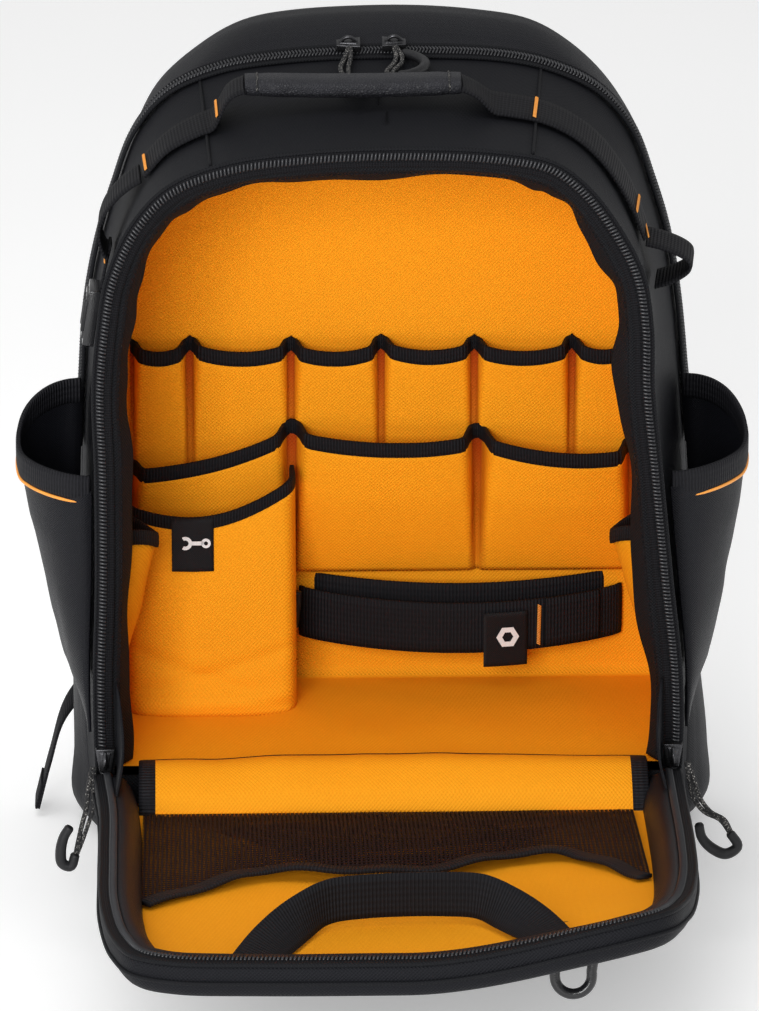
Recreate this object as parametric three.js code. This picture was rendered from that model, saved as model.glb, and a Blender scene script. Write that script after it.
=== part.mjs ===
// A tool backpack standing upright with its front flap unzipped and folded forward.
// Millimetres. X points to the viewer's right, Y towards the wearer's back and Z up.
// The origin is the middle of the base on the floor.
import * as THREE from "three";
import { LoftGeometry } from "three/addons/geometries/LoftGeometry.js";
import { mergeGeometries, mergeVertices } from "three/addons/utils/BufferGeometryUtils.js";

// Clearance between pieces that touch, and the thickness of each kind of cloth.
const GAP = 0.4;
const LINING_GAP = 0.9;
const SHELL_WALL = 2.5;
const LINING_WALL = 1.4;
const POCKET_WALL = 1.5;
const SIDE_POCKET_WALL = 2;
const FACING_WALL = 1.5;
const WEBBING_WALL = 1.8;
const BINDING_WALL = 2.4;

// The bag's compartments, front to back, and the outline of each at its half width and top.
const MAIN_DEPTH = 160;
const REAR_DEPTH = 76;
const RIM_HALF = 178;
const RIM_TOP = 503;
const SEAM_HALF = 188;
const SEAM_TOP = 517;
const BACK_HALF = 200;
const BACK_TOP = 535;
const BACK_SWELL = 34;
const BACK_ROUND = 14;
const RIM_Y = -(MAIN_DEPTH + REAR_DEPTH) / 2;
const SEAM_Y = RIM_Y + MAIN_DEPTH;
const BACK_Y = SEAM_Y + REAR_DEPTH;

// Outlines seen from the front. Each row gives a height as a share of the top, and the left
// and right half widths of the rim, seam and back outlines as shares of their own half width.
const OUTLINES = [
  { up: 0, rimL: 0.9, rimR: 0.9, seamL: 0.88, seamR: 0.915, backL: 0.86, backR: 0.94 },
  { up: 0.03, rimL: 0.945, rimR: 0.945, seamL: 0.957, seamR: 1.02, backL: 0.975, backR: 1.06 },
  { up: 0.1, rimL: 0.965, rimR: 0.965, seamL: 0.98, seamR: 1.04, backL: 0.975, backR: 1.06 },
  { up: 0.217, rimL: 0.99, rimR: 1.01, seamL: 0.99, seamR: 1.04, backL: 0.975, backR: 1.025 },
  { up: 0.33, rimL: 0.995, rimR: 1.01, seamL: 0.995, seamR: 1.037, backL: 0.97, backR: 1.015 },
  { up: 0.457, rimL: 0.983, rimR: 0.972, seamL: 0.99, seamR: 1.027, backL: 0.96, backR: 1.005 },
  { up: 0.6, rimL: 0.98, rimR: 0.93, seamL: 0.973, seamR: 1, backL: 0.935, backR: 0.97 },
  { up: 0.7, rimL: 0.985, rimR: 0.9, seamL: 0.952, seamR: 0.973, backL: 0.897, backR: 0.92 },
  { up: 0.78, rimL: 0.966, rimR: 0.893, seamL: 0.91, seamR: 0.936, backL: 0.835, backR: 0.88 },
  { up: 0.845, rimL: 0.933, rimR: 0.86, seamL: 0.856, seamR: 0.883, backL: 0.77, backR: 0.825 },
  { up: 0.91, rimL: 0.848, rimR: 0.764, seamL: 0.787, seamR: 0.814, backL: 0.683, backR: 0.725 },
  { up: 0.955, rimL: 0.73, rimR: 0.663, seamL: 0.68, seamR: 0.707, backL: 0.55, backR: 0.605 },
  { up: 0.982, rimL: 0.545, rimR: 0.556, seamL: 0.52, seamR: 0.56, backL: 0.42, backR: 0.48 },
  { up: 0.995, rimL: 0.3, rimR: 0.37, seamL: 0.3, seamR: 0.4, backL: 0.25, backR: 0.295 },
];
const OUTLINE_STEPS = 2;

// The opening: its hinge line, zip tape, inner facing and the orange lining tray.
const HINGE_Z = 108;
const FLOOR_Z = 112;
const ZIP_WIDTH = 11;
const ZIP_WALL = 3;
const FACING_WIDTH = 10;
const FACING_WAVE = 3;
const FACING_WAVES = 9;
const FACING_DEPTH = 13;
const LINING_START = 20;
const LINING_SILL = 3;
const REAR_ZIP_WIDTH = 13;
const REAR_ZIP_FOOT = 262;
const REAR_ZIP_LIFT = 1.2;
const REAR_ZIP_TILT = THREE.MathUtils.degToRad(16);
const SIDE_DISH = 3;

// The flap: a shallow tray folded forward from the hinge, its right corner curled up.
const FLAP_LENGTH = 384;
const FLAP_ANGLE = THREE.MathUtils.degToRad(5);
const FLAP_DEPTH = 20;
const FLAP_ROUND = 10;
const FLAP_CURL = 27;
const FLAP_ROWS = [
  { up: 0, flapL: 1, flapR: 1.01 },
  { up: 0.22, flapL: 0.972, flapR: 1 },
  { up: 0.47, flapL: 0.965, flapR: 0.985 },
  { up: 0.7, flapL: 0.955, flapR: 0.955 },
  { up: 0.87, flapL: 0.91, flapR: 0.9 },
  { up: 0.95, flapL: 0.845, flapR: 0.83 },
  { up: 0.985, flapL: 0.72, flapR: 0.7 },
  { up: 0.997, flapL: 0.45, flapR: 0.45 },
];
const FLAP_STEPS = 36;
const EDGE_BAND_WIDTH = 21;
const EDGE_BAND_DROP = 12;

// The curled lip over the hinge: distance behind the rim and height above the hinge.
const LIP_LEFT = RIM_HALF - 30;
const LIP_RIGHT = RIM_HALF - 22;
const LIP_WALL = 1.6;
const LIP_ROWS = [
  { back: 5, rise: 6.4 },
  { back: -8, rise: 9.5 },
  { back: -22, rise: 7.5 },
  { back: -34, rise: 1 },
  { back: -41, rise: -9 },
];

// The mesh pocket on the flap: how far its hem lies along the flap at each width.
const MESH_HALF = RIM_HALF - 30;
const MESH_START = 44;
const MESH_RISE = 9;
const MESH_LIFT = 0.6;
const MESH_WALL = 1;
const HEM_WIDTH = 9;
const MESH_HEM = [
  { across: -1, along: 226 },
  { across: -0.78, along: 200 },
  { across: -0.5, along: 172 },
  { across: -0.2, along: 178 },
  { across: 0.1, along: 181 },
  { across: 0.45, along: 152 },
  { across: 0.68, along: 146 },
  { across: 0.86, along: 172 },
  { across: 1, along: 208 },
];

// The flap's grab handle of webbing: place, height over the flap and lean of its width.
const HANDLE_WIDTH = 26;
const HANDLE_ROWS = [
  { x: -86, along: 346, up: -10.6, lean: 0.1 },
  { x: -72, along: 318, up: -5, lean: 0.35 },
  { x: -56, along: 292, up: 0, lean: 0.6 },
  { x: -40, along: 274, up: 3.6, lean: 0.9 },
  { x: -18, along: 268, up: 4.6, lean: 1 },
  { x: 28, along: 268, up: 4.6, lean: 1 },
  { x: 46, along: 274, up: 3.6, lean: 0.9 },
  { x: 60, along: 290, up: 0, lean: 0.6 },
  { x: 74, along: 312, up: -5, lean: 0.35 },
  { x: 86, along: 338, up: -10.6, lean: 0.1 },
];

// The moulded loop that hangs under the flap's tip.
const HOOK_WIDTH = 27;
const HOOK_HEIGHT = 34;
const HOOK_BAR = 6;
const HOOK_X = 98;
const HOOK_ALONG = 300;

// The orange rows of pockets on the back wall: a seam's place across the wall, the height of the
// pocket's edge there, and how far the pocket to its right stands off the wall.
const UPPER_ROWS = [
  { seam: -155, edge: 330, proud: 13 },
  { seam: -118, edge: 331, proud: 15 },
  { seam: -55, edge: 330, proud: 16 },
  { seam: 1, edge: 331, proud: 14 },
  { seam: 59, edge: 330, proud: 16 },
  { seam: 120, edge: 330, proud: 12 },
  { seam: 157, edge: 329, proud: 0 },
];
const UPPER_FOOT = 228;
const MIDDLE_ROWS = [
  { seam: -157, edge: 252, proud: 20 },
  { seam: -55, edge: 278, proud: 26 },
  { seam: 61, edge: 274, proud: 26 },
  { seam: 158, edge: 264, proud: 0 },
];
const MIDDLE_FOOT = 184;
const MIDDLE_LIFT = 6;
const EDGE_SAG = 7;
const BINDING_HEIGHT = 8;
const POCKET_STEPS = 8;
const POCKET_FULLNESS = 0.35;

// The box pocket at the lower left, seen from above: its left and right walls and its front.
const BOX_LEFT = -158;
const BOX_RIGHT = -55;
const BOX_BACK = MAIN_DEPTH - 20;
const BOX_FOOT_FRONT = BOX_BACK - 50;
const BOX_TOP_FRONT = BOX_BACK - 32;
const BOX_TOP = 238;
const BOX_SAG = 12;
const BOX_CORNER = 12;

// Pockets on the inner side walls.
const WALL_POCKET_START = 28;
const WALL_POCKET_END = 88;
const WALL_POCKET_TOP = 240;
const WALL_POCKET_PROUD = 31;
const WALL_POCKET_STEPS = 8;

// The webbing tool strap and the two cloth tags.
const STRAP_LEFT = -50;
const STRAP_RIGHT = 152;
const STRAP_FOOT = 139;
const STRAP_HEIGHT = 42;
const STRAP_PROUD = 30;
const STRAP_WALL = 3;
const TAG_WALL = 1.2;
const STRAP_TAG = { centre: 78, width: 27, foot: 134, top: 166 };
const BOX_TAG = { centre: -117, width: 26, foot: 203, top: 236 };

// The outer side pockets: height as a share from foot to mouth, and how far the wall stands out.
const SIDE_POCKET_FOOT = 126;
const SIDE_POCKET_START = 26;
const SIDE_POCKET_END = 146;
const SIDE_MOUTH_FRONT = 282;
const SIDE_MOUTH_BACK = 306;
const SIDE_POCKET_PROUD = 44;
const SIDE_POCKET_STEPS = 12;
const SIDE_BINDING_HEIGHT = 9;
const SIDE_BINDING_WALL = 3;
const SIDE_POCKET_ROWS = [
  { up: 0, out: 0.03 },
  { up: 0.2, out: 0.36 },
  { up: 0.5, out: 0.66 },
  { up: 0.8, out: 0.9 },
  { up: 1, out: 1 },
];

// The carrying grip and the webbing over the top of the bag.
const GRIP_Y = RIM_Y + 76;
const GRIP_LEFT = -83;
const GRIP_RIGHT = 47;
const GRIP_DEPTH = 26;
const GRIP_HEIGHT = 12;
const GRIP_GAP = 7;
const TOP_WEBBING_WIDTH = 38;
const GRIP_RUN = 26;
const LOOP_TOP_Z = 470;
const LOOP_FOOT_Z = 418;
const LOOP_PROUD = 11;
const TAB_TOP_Z = 428;
const TAB_FOOT_Z = 398;
const TAB_PROUD = 24;
const LOOP_STEPS = 8;
const BUCKLE_TOP_Z = 396;
const BUCKLE_HEIGHT = 35;
const BUCKLE_WIDTH = 26;
const BUCKLE_WALL = 8;

// The back: one padded panel, two padded shoulder straps, their webbing and ladder locks.
const PAD_INSET = 34;
const PAD_DEPTH = 14;
const PAD_FOOT = 40;
const SHOULDER_WALL = 12;
const SHOULDER_ROWS = [
  { x: 42, back: 0, z: 486, width: 70 },
  { x: 47, back: 12, z: 462, width: 70 },
  { x: 54, back: 32, z: 410, width: 68 },
  { x: 60, back: 40, z: 340, width: 64 },
  { x: 70, back: 38, z: 270, width: 58 },
  { x: 84, back: 30, z: 205, width: 50 },
  { x: 96, back: 24, z: 168, width: 42 },
];
const STRAP_WEBBING_WIDTH = 25;
const LOCK_WIDTH = 34;
const LOCK_HEIGHT = 26;
const LOCK_DEPTH = 7;
const LOWER_ROWS = [
  { x: 100, back: 23.8, z: 144 },
  { x: 118, back: 17, z: 110 },
  { x: 138, back: 8, z: 80 },
  { x: 160, back: 0, z: 54 },
];
const TAIL_ROWS = [
  { x: -112, back: 39.8, z: 120, turn: 0 },
  { x: -142, back: 38, z: 102, turn: 0.1 },
  { x: -172, back: 24, z: 86, turn: 0.35 },
  { x: -200, back: -5, z: 65, turn: 0.8 },
  { x: -210, back: -17, z: 37, turn: 1 },
  { x: -218, back: -21, z: 7, turn: 1 },
];

// Zip sliders, and the cord and moulded end of each pull. Their points are chosen by hand.
const SLIDER_WIDTH = 12;
const SLIDER_LENGTH = 15;
const SLIDER_WALL = 6;
const CORD_DIAMETER = 3;
const CORD_STEPS = 10;
const END_DIAMETER = 6.4;
const END_STEPS = 9;
const TUBE_SIDES = 8;
const PULLS = {
  front_left: {
    cord: [
      [-179, -126, 116], [-181.5, -127, 103], [-183, -128, 90],
      [-186, -128, 78], [-189.8, -128, 60.5],
    ],
    end: [
      [-193, -128, 78], [-197, -128, 71], [-199, -128, 61],
      [-198, -128, 54], [-193, -128, 52], [-190, -128, 60.1],
    ],
  },
  front_right: {
    cord: [
      [183, -126, 116], [185, -127, 104], [187, -128, 94],
      [194, -128, 84], [204, -128, 78.5], [209.8, -128, 70.4],
    ],
    end: [
      [191, -128, 76], [193, -128, 67], [199, -128, 60],
      [208, -128, 56], [215, -128, 61], [210, -128, 70],
    ],
  },
  rear_left: {
    cord: [
      [-19, 34.3, 523.6], [-21, 27, 520.4], [-24, 16, 517.4],
      [-24, 5, 516.3], [-21, -8.6, 516.6],
    ],
    end: [
      [-21, -9, 516.6], [-21, -16, 516], [-17, -22, 515.4],
      [-10, -22.5, 515.4], [-7, -16, 515.8], [-8, -8, 516.6],
    ],
  },
  rear_right: {
    cord: [
      [9, 34.3, 524], [10, 26, 520.8], [8, 16, 518.2],
      [4, 6, 517], [4.5, -3, 517], [9.6, -5.6, 517],
    ],
    end: [
      [14, 32, 521], [22, 26, 520.2], [27, 16, 519],
      [25, 4, 518], [17, -4, 517.2], [10.5, -5.5, 517],
    ],
  },
};

// Makes one closed body from a stack of rings of points. Each end is closed towards its middle.
function loft(rings) {
  const middleOf = (ring) => {
    const middle = new THREE.Vector3();
    ring.forEach((point) => middle.add(point));
    middle.divideScalar(ring.length);
    return ring.map(() => middle);
  };
  const last = rings[rings.length - 1];
  return closedBody([new LoftGeometry([middleOf(rings[0]), ...rings, middleOf(last)])]);
}

// Joins the shared points of one or more surfaces, so that their faces make one closed body.
function closedBody(surfaces) {
  const plain = surfaces.map((surface) => {
    const copy = new THREE.BufferGeometry().copy(surface);
    copy.deleteAttribute("normal");
    copy.deleteAttribute("uv");
    return copy;
  });
  const joined = mergeVertices(mergeGeometries(plain), 1e-4);
  const order = joined.index.array;
  const kept = [];
  for (let i = 0; i < order.length; i += 3) {
    const [a, b, c] = order.slice(i, i + 3);
    if (a !== b && b !== c && c !== a) kept.push(a, b, c);
  }
  joined.setIndex(kept);
  return faceOut(joined);
}

function faceOut(geometry) {
  const at = geometry.attributes.position;
  const order = geometry.index.array;
  const [a, b, c] = [new THREE.Vector3(), new THREE.Vector3(), new THREE.Vector3()];
  let volume = 0;
  for (let i = 0; i < order.length; i += 3) {
    a.fromBufferAttribute(at, order[i]);
    b.fromBufferAttribute(at, order[i + 1]);
    c.fromBufferAttribute(at, order[i + 2]);
    volume += a.dot(b.cross(c));
  }
  if (volume < 0) geometry.setIndex(Array.from(order).reverse());
  geometry.computeVertexNormals();
  return geometry;
}

// The surface's normal at one point of a grid, from the points beside it.
function normalAt(rows, i, j) {
  const lastRow = rows.length - 1;
  const lastPoint = rows[0].length - 1;
  const down = rows[Math.min(i + 1, lastRow)][j].clone().sub(rows[Math.max(i - 1, 0)][j]);
  const across = rows[i][Math.min(j + 1, lastPoint)].clone().sub(rows[i][Math.max(j - 1, 0)]);
  return down.cross(across).normalize();
}

// Rows of points become a cloth wall, its thickness laid off along the surface's own normal.
function cloth(rows, wall) {
  const backs = rows.map((row, i) =>
    row.map((point, j) => point.clone().addScaledVector(normalAt(rows, i, j), wall)),
  );
  const rings = rows.map((row, i) => [...row, ...backs[i].toReversed()]);
  const last = rows.length - 1;
  return closedBody([
    new LoftGeometry(rings),
    new LoftGeometry([backs[0], rows[0]], { closed: false }),
    new LoftGeometry([rows[last], backs[last]], { closed: false }),
  ]);
}

// Closed rings of points become a wall all the way round, its thickness laid off inwards.
function hoop(rings, wall) {
  const inner = rings.map((ring) => inset(ring, wall, true));
  const sections = rings[0].map((_, j) => {
    const outside = rings.map((ring) => ring[j]);
    const inside = inner.map((ring) => ring[j]).reverse();
    return [...outside, ...inside];
  });
  return closedBody([new LoftGeometry([...sections, sections[0]])]);
}

// A cup: its inner skin from the floor to the mouth, then its outer skin back to the floor.
function cup(outer, inner) {
  return loft([...inner.toReversed(), ...outer]);
}

// A webbing band along a line of points, with the direction of its width at each.
function webbing(points, directions, width, wall) {
  const edges = [-0.5, 0.5].map((side) =>
    points.map((point, i) => point.clone().addScaledVector(directions[i], side * width)),
  );
  return cloth(edges, wall);
}

function tube(points, diameter, steps) {
  const route = new THREE.CatmullRomCurve3(points.map((point) => new THREE.Vector3(...point)));
  const section = new THREE.Shape();
  for (let side = 0; side < TUBE_SIDES; side += 1) {
    const angle = (side / TUBE_SIDES) * 2 * Math.PI;
    const place = [(Math.cos(angle) * diameter) / 2, (Math.sin(angle) * diameter) / 2];
    if (side === 0) section.moveTo(...place);
    else section.lineTo(...place);
  }
  return closedBody([
    new THREE.ExtrudeGeometry(section, { steps, extrudePath: route, bevelEnabled: false }),
  ]);
}

// A flat piece with rounded corners, lying in XY with its thickness along Z.
function plate(width, height, wall, corner) {
  const shape = new THREE.Shape();
  const [x, y] = [width / 2, height / 2];
  shape.moveTo(corner - x, -y);
  shape.lineTo(x - corner, -y).quadraticCurveTo(x, -y, x, corner - y);
  shape.lineTo(x, y - corner).quadraticCurveTo(x, y, x - corner, y);
  shape.lineTo(corner - x, y).quadraticCurveTo(-x, y, -x, y - corner);
  shape.lineTo(-x, corner - y).quadraticCurveTo(-x, -y, corner - x, -y);
  return new THREE.ExtrudeGeometry(shape, { depth: wall, bevelEnabled: false, curveSegments: 3 });
}

// Moves each point of an outline in XZ towards its inside. The outline climbs the left side
// and comes down the right one.
function inset(points, distance, closed = false) {
  const count = points.length;
  return points.map((point, i) => {
    const before = points[closed ? (i + count - 1) % count : Math.max(i - 1, 0)];
    const after = points[closed ? (i + 1) % count : Math.min(i + 1, count - 1)];
    const run = new THREE.Vector2(after.x - before.x, after.z - before.z).normalize();
    const amount = typeof distance === "function" ? distance(i / (count - 1)) : distance;
    return new THREE.Vector3(point.x + run.y * amount, point.y, point.z - run.x * amount);
  });
}

function outline(rows, left, right, half, top, closed) {
  const place = (row, key, side) => new THREE.Vector3(side * row[key] * half, 0, row.up * top);
  const climb = rows.map((row) => place(row, left, -1));
  const fall = rows.map((row) => place(row, right, 1)).reverse();
  const last = rows[rows.length - 1];
  const apex = new THREE.Vector3(((last[right] - last[left]) / 2) * half, 0, top);
  return new THREE.CatmullRomCurve3([...climb, apex, ...fall], closed, "centripetal");
}

const rim = outline(OUTLINES, "rimL", "rimR", RIM_HALF, RIM_TOP, true);
const seam = outline(OUTLINES, "seamL", "seamR", SEAM_HALF, SEAM_TOP, true);
const back = outline(OUTLINES, "backL", "backR", BACK_HALF, BACK_TOP, true);
const flapEdge = outline(FLAP_ROWS, "flapL", "flapR", RIM_HALF, FLAP_LENGTH, false);

// The main shell's outer surface at a distance behind the rim. Its sides dish in a little, to
// a shallow crease halfway back.
function shellPoint(t, depth) {
  const share = depth / MAIN_DEPTH;
  const point = rim.getPoint(t).lerp(seam.getPoint(t), share);
  point.x -= Math.sign(point.x) * SIDE_DISH * (1 - Math.abs(2 * share - 1));
  return new THREE.Vector3(point.x, RIM_Y + depth, Math.max(point.z, 0));
}

function backPoint(t, y) {
  const point = back.getPoint(t);
  return new THREE.Vector3(point.x, y, Math.max(point.z, 0));
}

const RING_POINTS = (2 * OUTLINES.length + 1) * OUTLINE_STEPS;

function ringOf(pointAt) {
  return Array.from({ length: RING_POINTS }, (_, i) => pointAt(i / RING_POINTS));
}

// Finds where an outline passes a height on its left or right side.
function passAt(pointAt, z, side) {
  const apex = OUTLINES.length / (2 * OUTLINES.length + 1);
  let low = side < 0 ? 0 : 2 * apex;
  let high = apex;
  for (let step = 0; step < 40; step += 1) {
    const middle = (low + high) / 2;
    if (pointAt(middle).z < z) low = middle;
    else high = middle;
  }
  return (low + high) / 2;
}

// The part of an outline over a height on the rim, from its left foot over the top to its right.
// Between its feet it has the same points as the whole ring, so that neighbours lie parallel.
function archOf(pointAt, foot) {
  const start = passAt((t) => shellPoint(t, 0), foot, -1);
  const end = passAt((t) => shellPoint(t, 0), foot, 1);
  const margin = 0.3 / RING_POINTS;
  const shared = Array.from({ length: RING_POINTS }, (_, i) => i / RING_POINTS);
  const inside = shared.filter((t) => t > start + margin && t < end - margin);
  return [start, ...inside, end].map(pointAt);
}

// An arch closed along a floor, as one ring of points.
function floored(arch, foot) {
  const ring = arch.map((point) => new THREE.Vector3(point.x, point.y, Math.max(point.z, foot)));
  const [first, last] = [ring[0], ring[ring.length - 1]];
  first.z = foot;
  last.z = foot;
  return ring;
}

function shellX(side, depth, z) {
  return shellPoint(passAt((t) => shellPoint(t, depth), z, side), depth).x;
}

function shellTopZ(x, depth) {
  const arch = archOf((t) => shellPoint(t, depth), HINGE_Z);
  const next = arch.findIndex((point) => point.x >= x);
  const [a, b] = [arch[next - 1], arch[next]];
  return THREE.MathUtils.mapLinear(x, a.x, b.x, a.z, b.z);
}

// A point on the open flap: its place across, its distance from the hinge and its height.
function onFlap(x, along, up) {
  const reach = along / FLAP_LENGTH;
  const curl = FLAP_CURL * THREE.MathUtils.smoothstep(x / RIM_HALF, 0, 1) * reach * reach;
  const rise = up + curl;
  const y = RIM_Y - GAP - along * Math.cos(FLAP_ANGLE) + rise * Math.sin(FLAP_ANGLE);
  const z = HINGE_Z + along * Math.sin(FLAP_ANGLE) + rise * Math.cos(FLAP_ANGLE);
  return new THREE.Vector3(x, y, z);
}

// The flap's edge at an inset and a height, from the left end of the hinge round to the right.
// Its start is the distance of both ends from the hinge, and its size shrinks it to its middle.
function flapArch(edgeInset, up, start = edgeInset, size = 1) {
  const flat = Array.from({ length: FLAP_STEPS + 1 }, (_, i) => flapEdge.getPoint(i / FLAP_STEPS));
  return inset(flat, edgeInset).map((point) => {
    const along = THREE.MathUtils.lerp(FLAP_LENGTH / 2, Math.max(point.z, start), size);
    return onFlap(point.x * size, along, up);
  });
}

const FINISHES = {
  black_fabric: { color: 0x17181c, roughness: 0.85 },
  satin_fabric: { color: 0x1b1c21, roughness: 0.6 },
  orange_lining: { color: 0xf0851a, roughness: 0.8 },
  webbing: { color: 0x15161a, roughness: 0.8 },
  binding: { color: 0x121317, roughness: 0.75 },
  mesh: { color: 0x2e1a18, roughness: 0.9 },
  zip_coil: { color: 0x101114, roughness: 0.45 },
  slider_metal: { color: 0x2a2b2f, roughness: 0.3, metalness: 0.9 },
  pull_plastic: { color: 0x1c1d20, roughness: 0.5 },
  grip_leather: { color: 0x1e1f22, roughness: 0.6 },
  pull_cord: { color: 0x1a1a1c, roughness: 0.85 },
  tag_cloth: { color: 0x101114, roughness: 0.7 },
  padding: { color: 0x1a1b1f, roughness: 0.9 },
};
const materials = {};
for (const [name, finish] of Object.entries(FINISHES)) {
  materials[name] = new THREE.MeshStandardMaterial({ name, ...finish });
}

const backpack = new THREE.Group();
backpack.name = "tool_backpack";

function addPiece(name, geometry, finish, parent = backpack) {
  const piece = new THREE.Mesh(geometry, materials[finish]);
  piece.name = name;
  parent.add(piece);
  return piece;
}

// Compartments
function addCompartments() {
  const depths = [0, MAIN_DEPTH / 2, MAIN_DEPTH - GAP];
  const shellRings = depths.map((depth) => ringOf((t) => shellPoint(t, depth)));
  addPiece("front_shell", hoop(shellRings, SHELL_WALL), "black_fabric");

  const panelTop = HINGE_Z - GAP * 2;
  const panelRings = [GAP, GAP + SHELL_WALL].map((depth) => {
    const whole = inset(ringOf((t) => shellPoint(t, 0)), SHELL_WALL + GAP, true);
    return whole
      .filter((point, i) => whole[(i + 1) % RING_POINTS].z < panelTop || point.z < panelTop)
      .map((point) => new THREE.Vector3(point.x, RIM_Y + depth, Math.min(point.z, panelTop)));
  });
  addPiece("front_base_panel", loft(panelRings), "black_fabric");

  // The tray's mouth stands behind the facing, and its floor runs on to the hinge.
  const liningInset = SHELL_WALL + LINING_GAP;
  const wallDepth = MAIN_DEPTH - GAP - LINING_WALL;
  const mouthPoint = (t) => {
    const climb = (shellPoint(t, LINING_START).z - FLOOR_Z) / FACING_WIDTH;
    const share = THREE.MathUtils.clamp(climb, 0, 1);
    return shellPoint(t, THREE.MathUtils.lerp(LINING_SILL, LINING_START, share));
  };
  const liningRing = (pointAt, edge, floor) => floored(inset(archOf(pointAt, FLOOR_Z), edge), floor);
  const middle = (t) => shellPoint(t, MAIN_DEPTH / 2);
  const outer = [mouthPoint, middle, (t) => shellPoint(t, wallDepth + LINING_WALL)].map((pointAt) =>
    liningRing(pointAt, liningInset, FLOOR_Z - LINING_WALL),
  );
  const inner = [mouthPoint, middle, (t) => shellPoint(t, wallDepth)].map((pointAt) =>
    liningRing(pointAt, liningInset + LINING_WALL, FLOOR_Z),
  );
  addPiece("compartment_lining", cup(outer, inner), "orange_lining");

  const rearRings = (wall) => [
    inset(ringOf((t) => shellPoint(t, MAIN_DEPTH)), wall, true).map((point) => point.setY(SEAM_Y + GAP)),
    inset(ringOf((t) => backPoint(t, SEAM_Y + BACK_SWELL)), wall, true),
    inset(ringOf((t) => backPoint(t, BACK_Y - BACK_ROUND)), wall, true),
    inset(ringOf((t) => backPoint(t, BACK_Y - wall)), Math.max(wall, 0) + BACK_ROUND, true),
  ];
  addPiece("rear_shell", cup(rearRings(0), rearRings(SHELL_WALL)), "black_fabric");
}

// Zips and facing
function addZips() {
  const edge = archOf((t) => shellPoint(t, 0), HINGE_Z + GAP);
  const zipRows = [0, ZIP_WIDTH].map((distance) =>
    inset(edge, distance).map((point) => point.setY(RIM_Y - GAP)),
  );
  addPiece("front_zip", cloth(zipRows, ZIP_WALL), "zip_coil");

  const wave = (share) => FACING_WAVE * Math.sin(share * FACING_WAVES * 2 * Math.PI);
  const foot = FLOOR_Z + GAP;
  const facingEdge = archOf((t) => shellPoint(t, 0), foot);
  const facingInset = SHELL_WALL + GAP;
  const facingRows = [
    inset(facingEdge, facingInset).map((point) => point.setY(RIM_Y + GAP)),
    inset(facingEdge, ZIP_WIDTH).map((point) => point.setY(RIM_Y + GAP * 2)),
    inset(facingEdge, (share) => ZIP_WIDTH + FACING_WIDTH + wave(share)).map((point) =>
      point.setY(RIM_Y + FACING_DEPTH),
    ),
  ];
  addPiece("zip_facing", cloth(facingRows, -FACING_WALL), "black_fabric");

  const half = REAR_ZIP_WIDTH / 2;
  const front = archOf((t) => shellPoint(t, MAIN_DEPTH - half), REAR_ZIP_FOOT);
  const rearEdge = (t) => {
    const share = half / BACK_SWELL;
    return shellPoint(t, MAIN_DEPTH).lerp(backPoint(t, SEAM_Y), share).setY(SEAM_Y + half);
  };
  const rear = archOf(rearEdge, REAR_ZIP_FOOT);
  const rows = [rear, front].map((row) => inset(row, -REAR_ZIP_LIFT));
  addPiece("rear_zip", cloth(rows, ZIP_WALL), "zip_coil");
}

// A row of pockets on the back wall: the profile between seams, at one height.
// Its points are closer together beside the seams, where a pocket turns to the wall.
function pocketLine(rows, wallY, fullness, heightAt) {
  const pointAt = (row, next, share) => {
    const sag = Math.sin(share * Math.PI);
    const x = THREE.MathUtils.lerp(row.seam, next.seam, share);
    const edge = THREE.MathUtils.lerp(row.edge, next.edge, share) - EDGE_SAG * sag;
    const out = row.proud * fullness * sag ** POCKET_FULLNESS;
    return new THREE.Vector3(x, wallY - out, heightAt(edge));
  };
  const angles = Array.from({ length: POCKET_STEPS }, (_, i) => (i / POCKET_STEPS) * Math.PI);
  const shares = angles.map((angle) => (1 - Math.cos(angle)) / 2);
  const between = (row, i) => shares.map((share) => pointAt(row, rows[i + 1], share));
  const pockets = rows.slice(0, -1).map(between);
  const [nextToLast, last] = rows.slice(-2);
  return [...pockets.flat(), pointAt(nextToLast, last, 1)];
}

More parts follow.
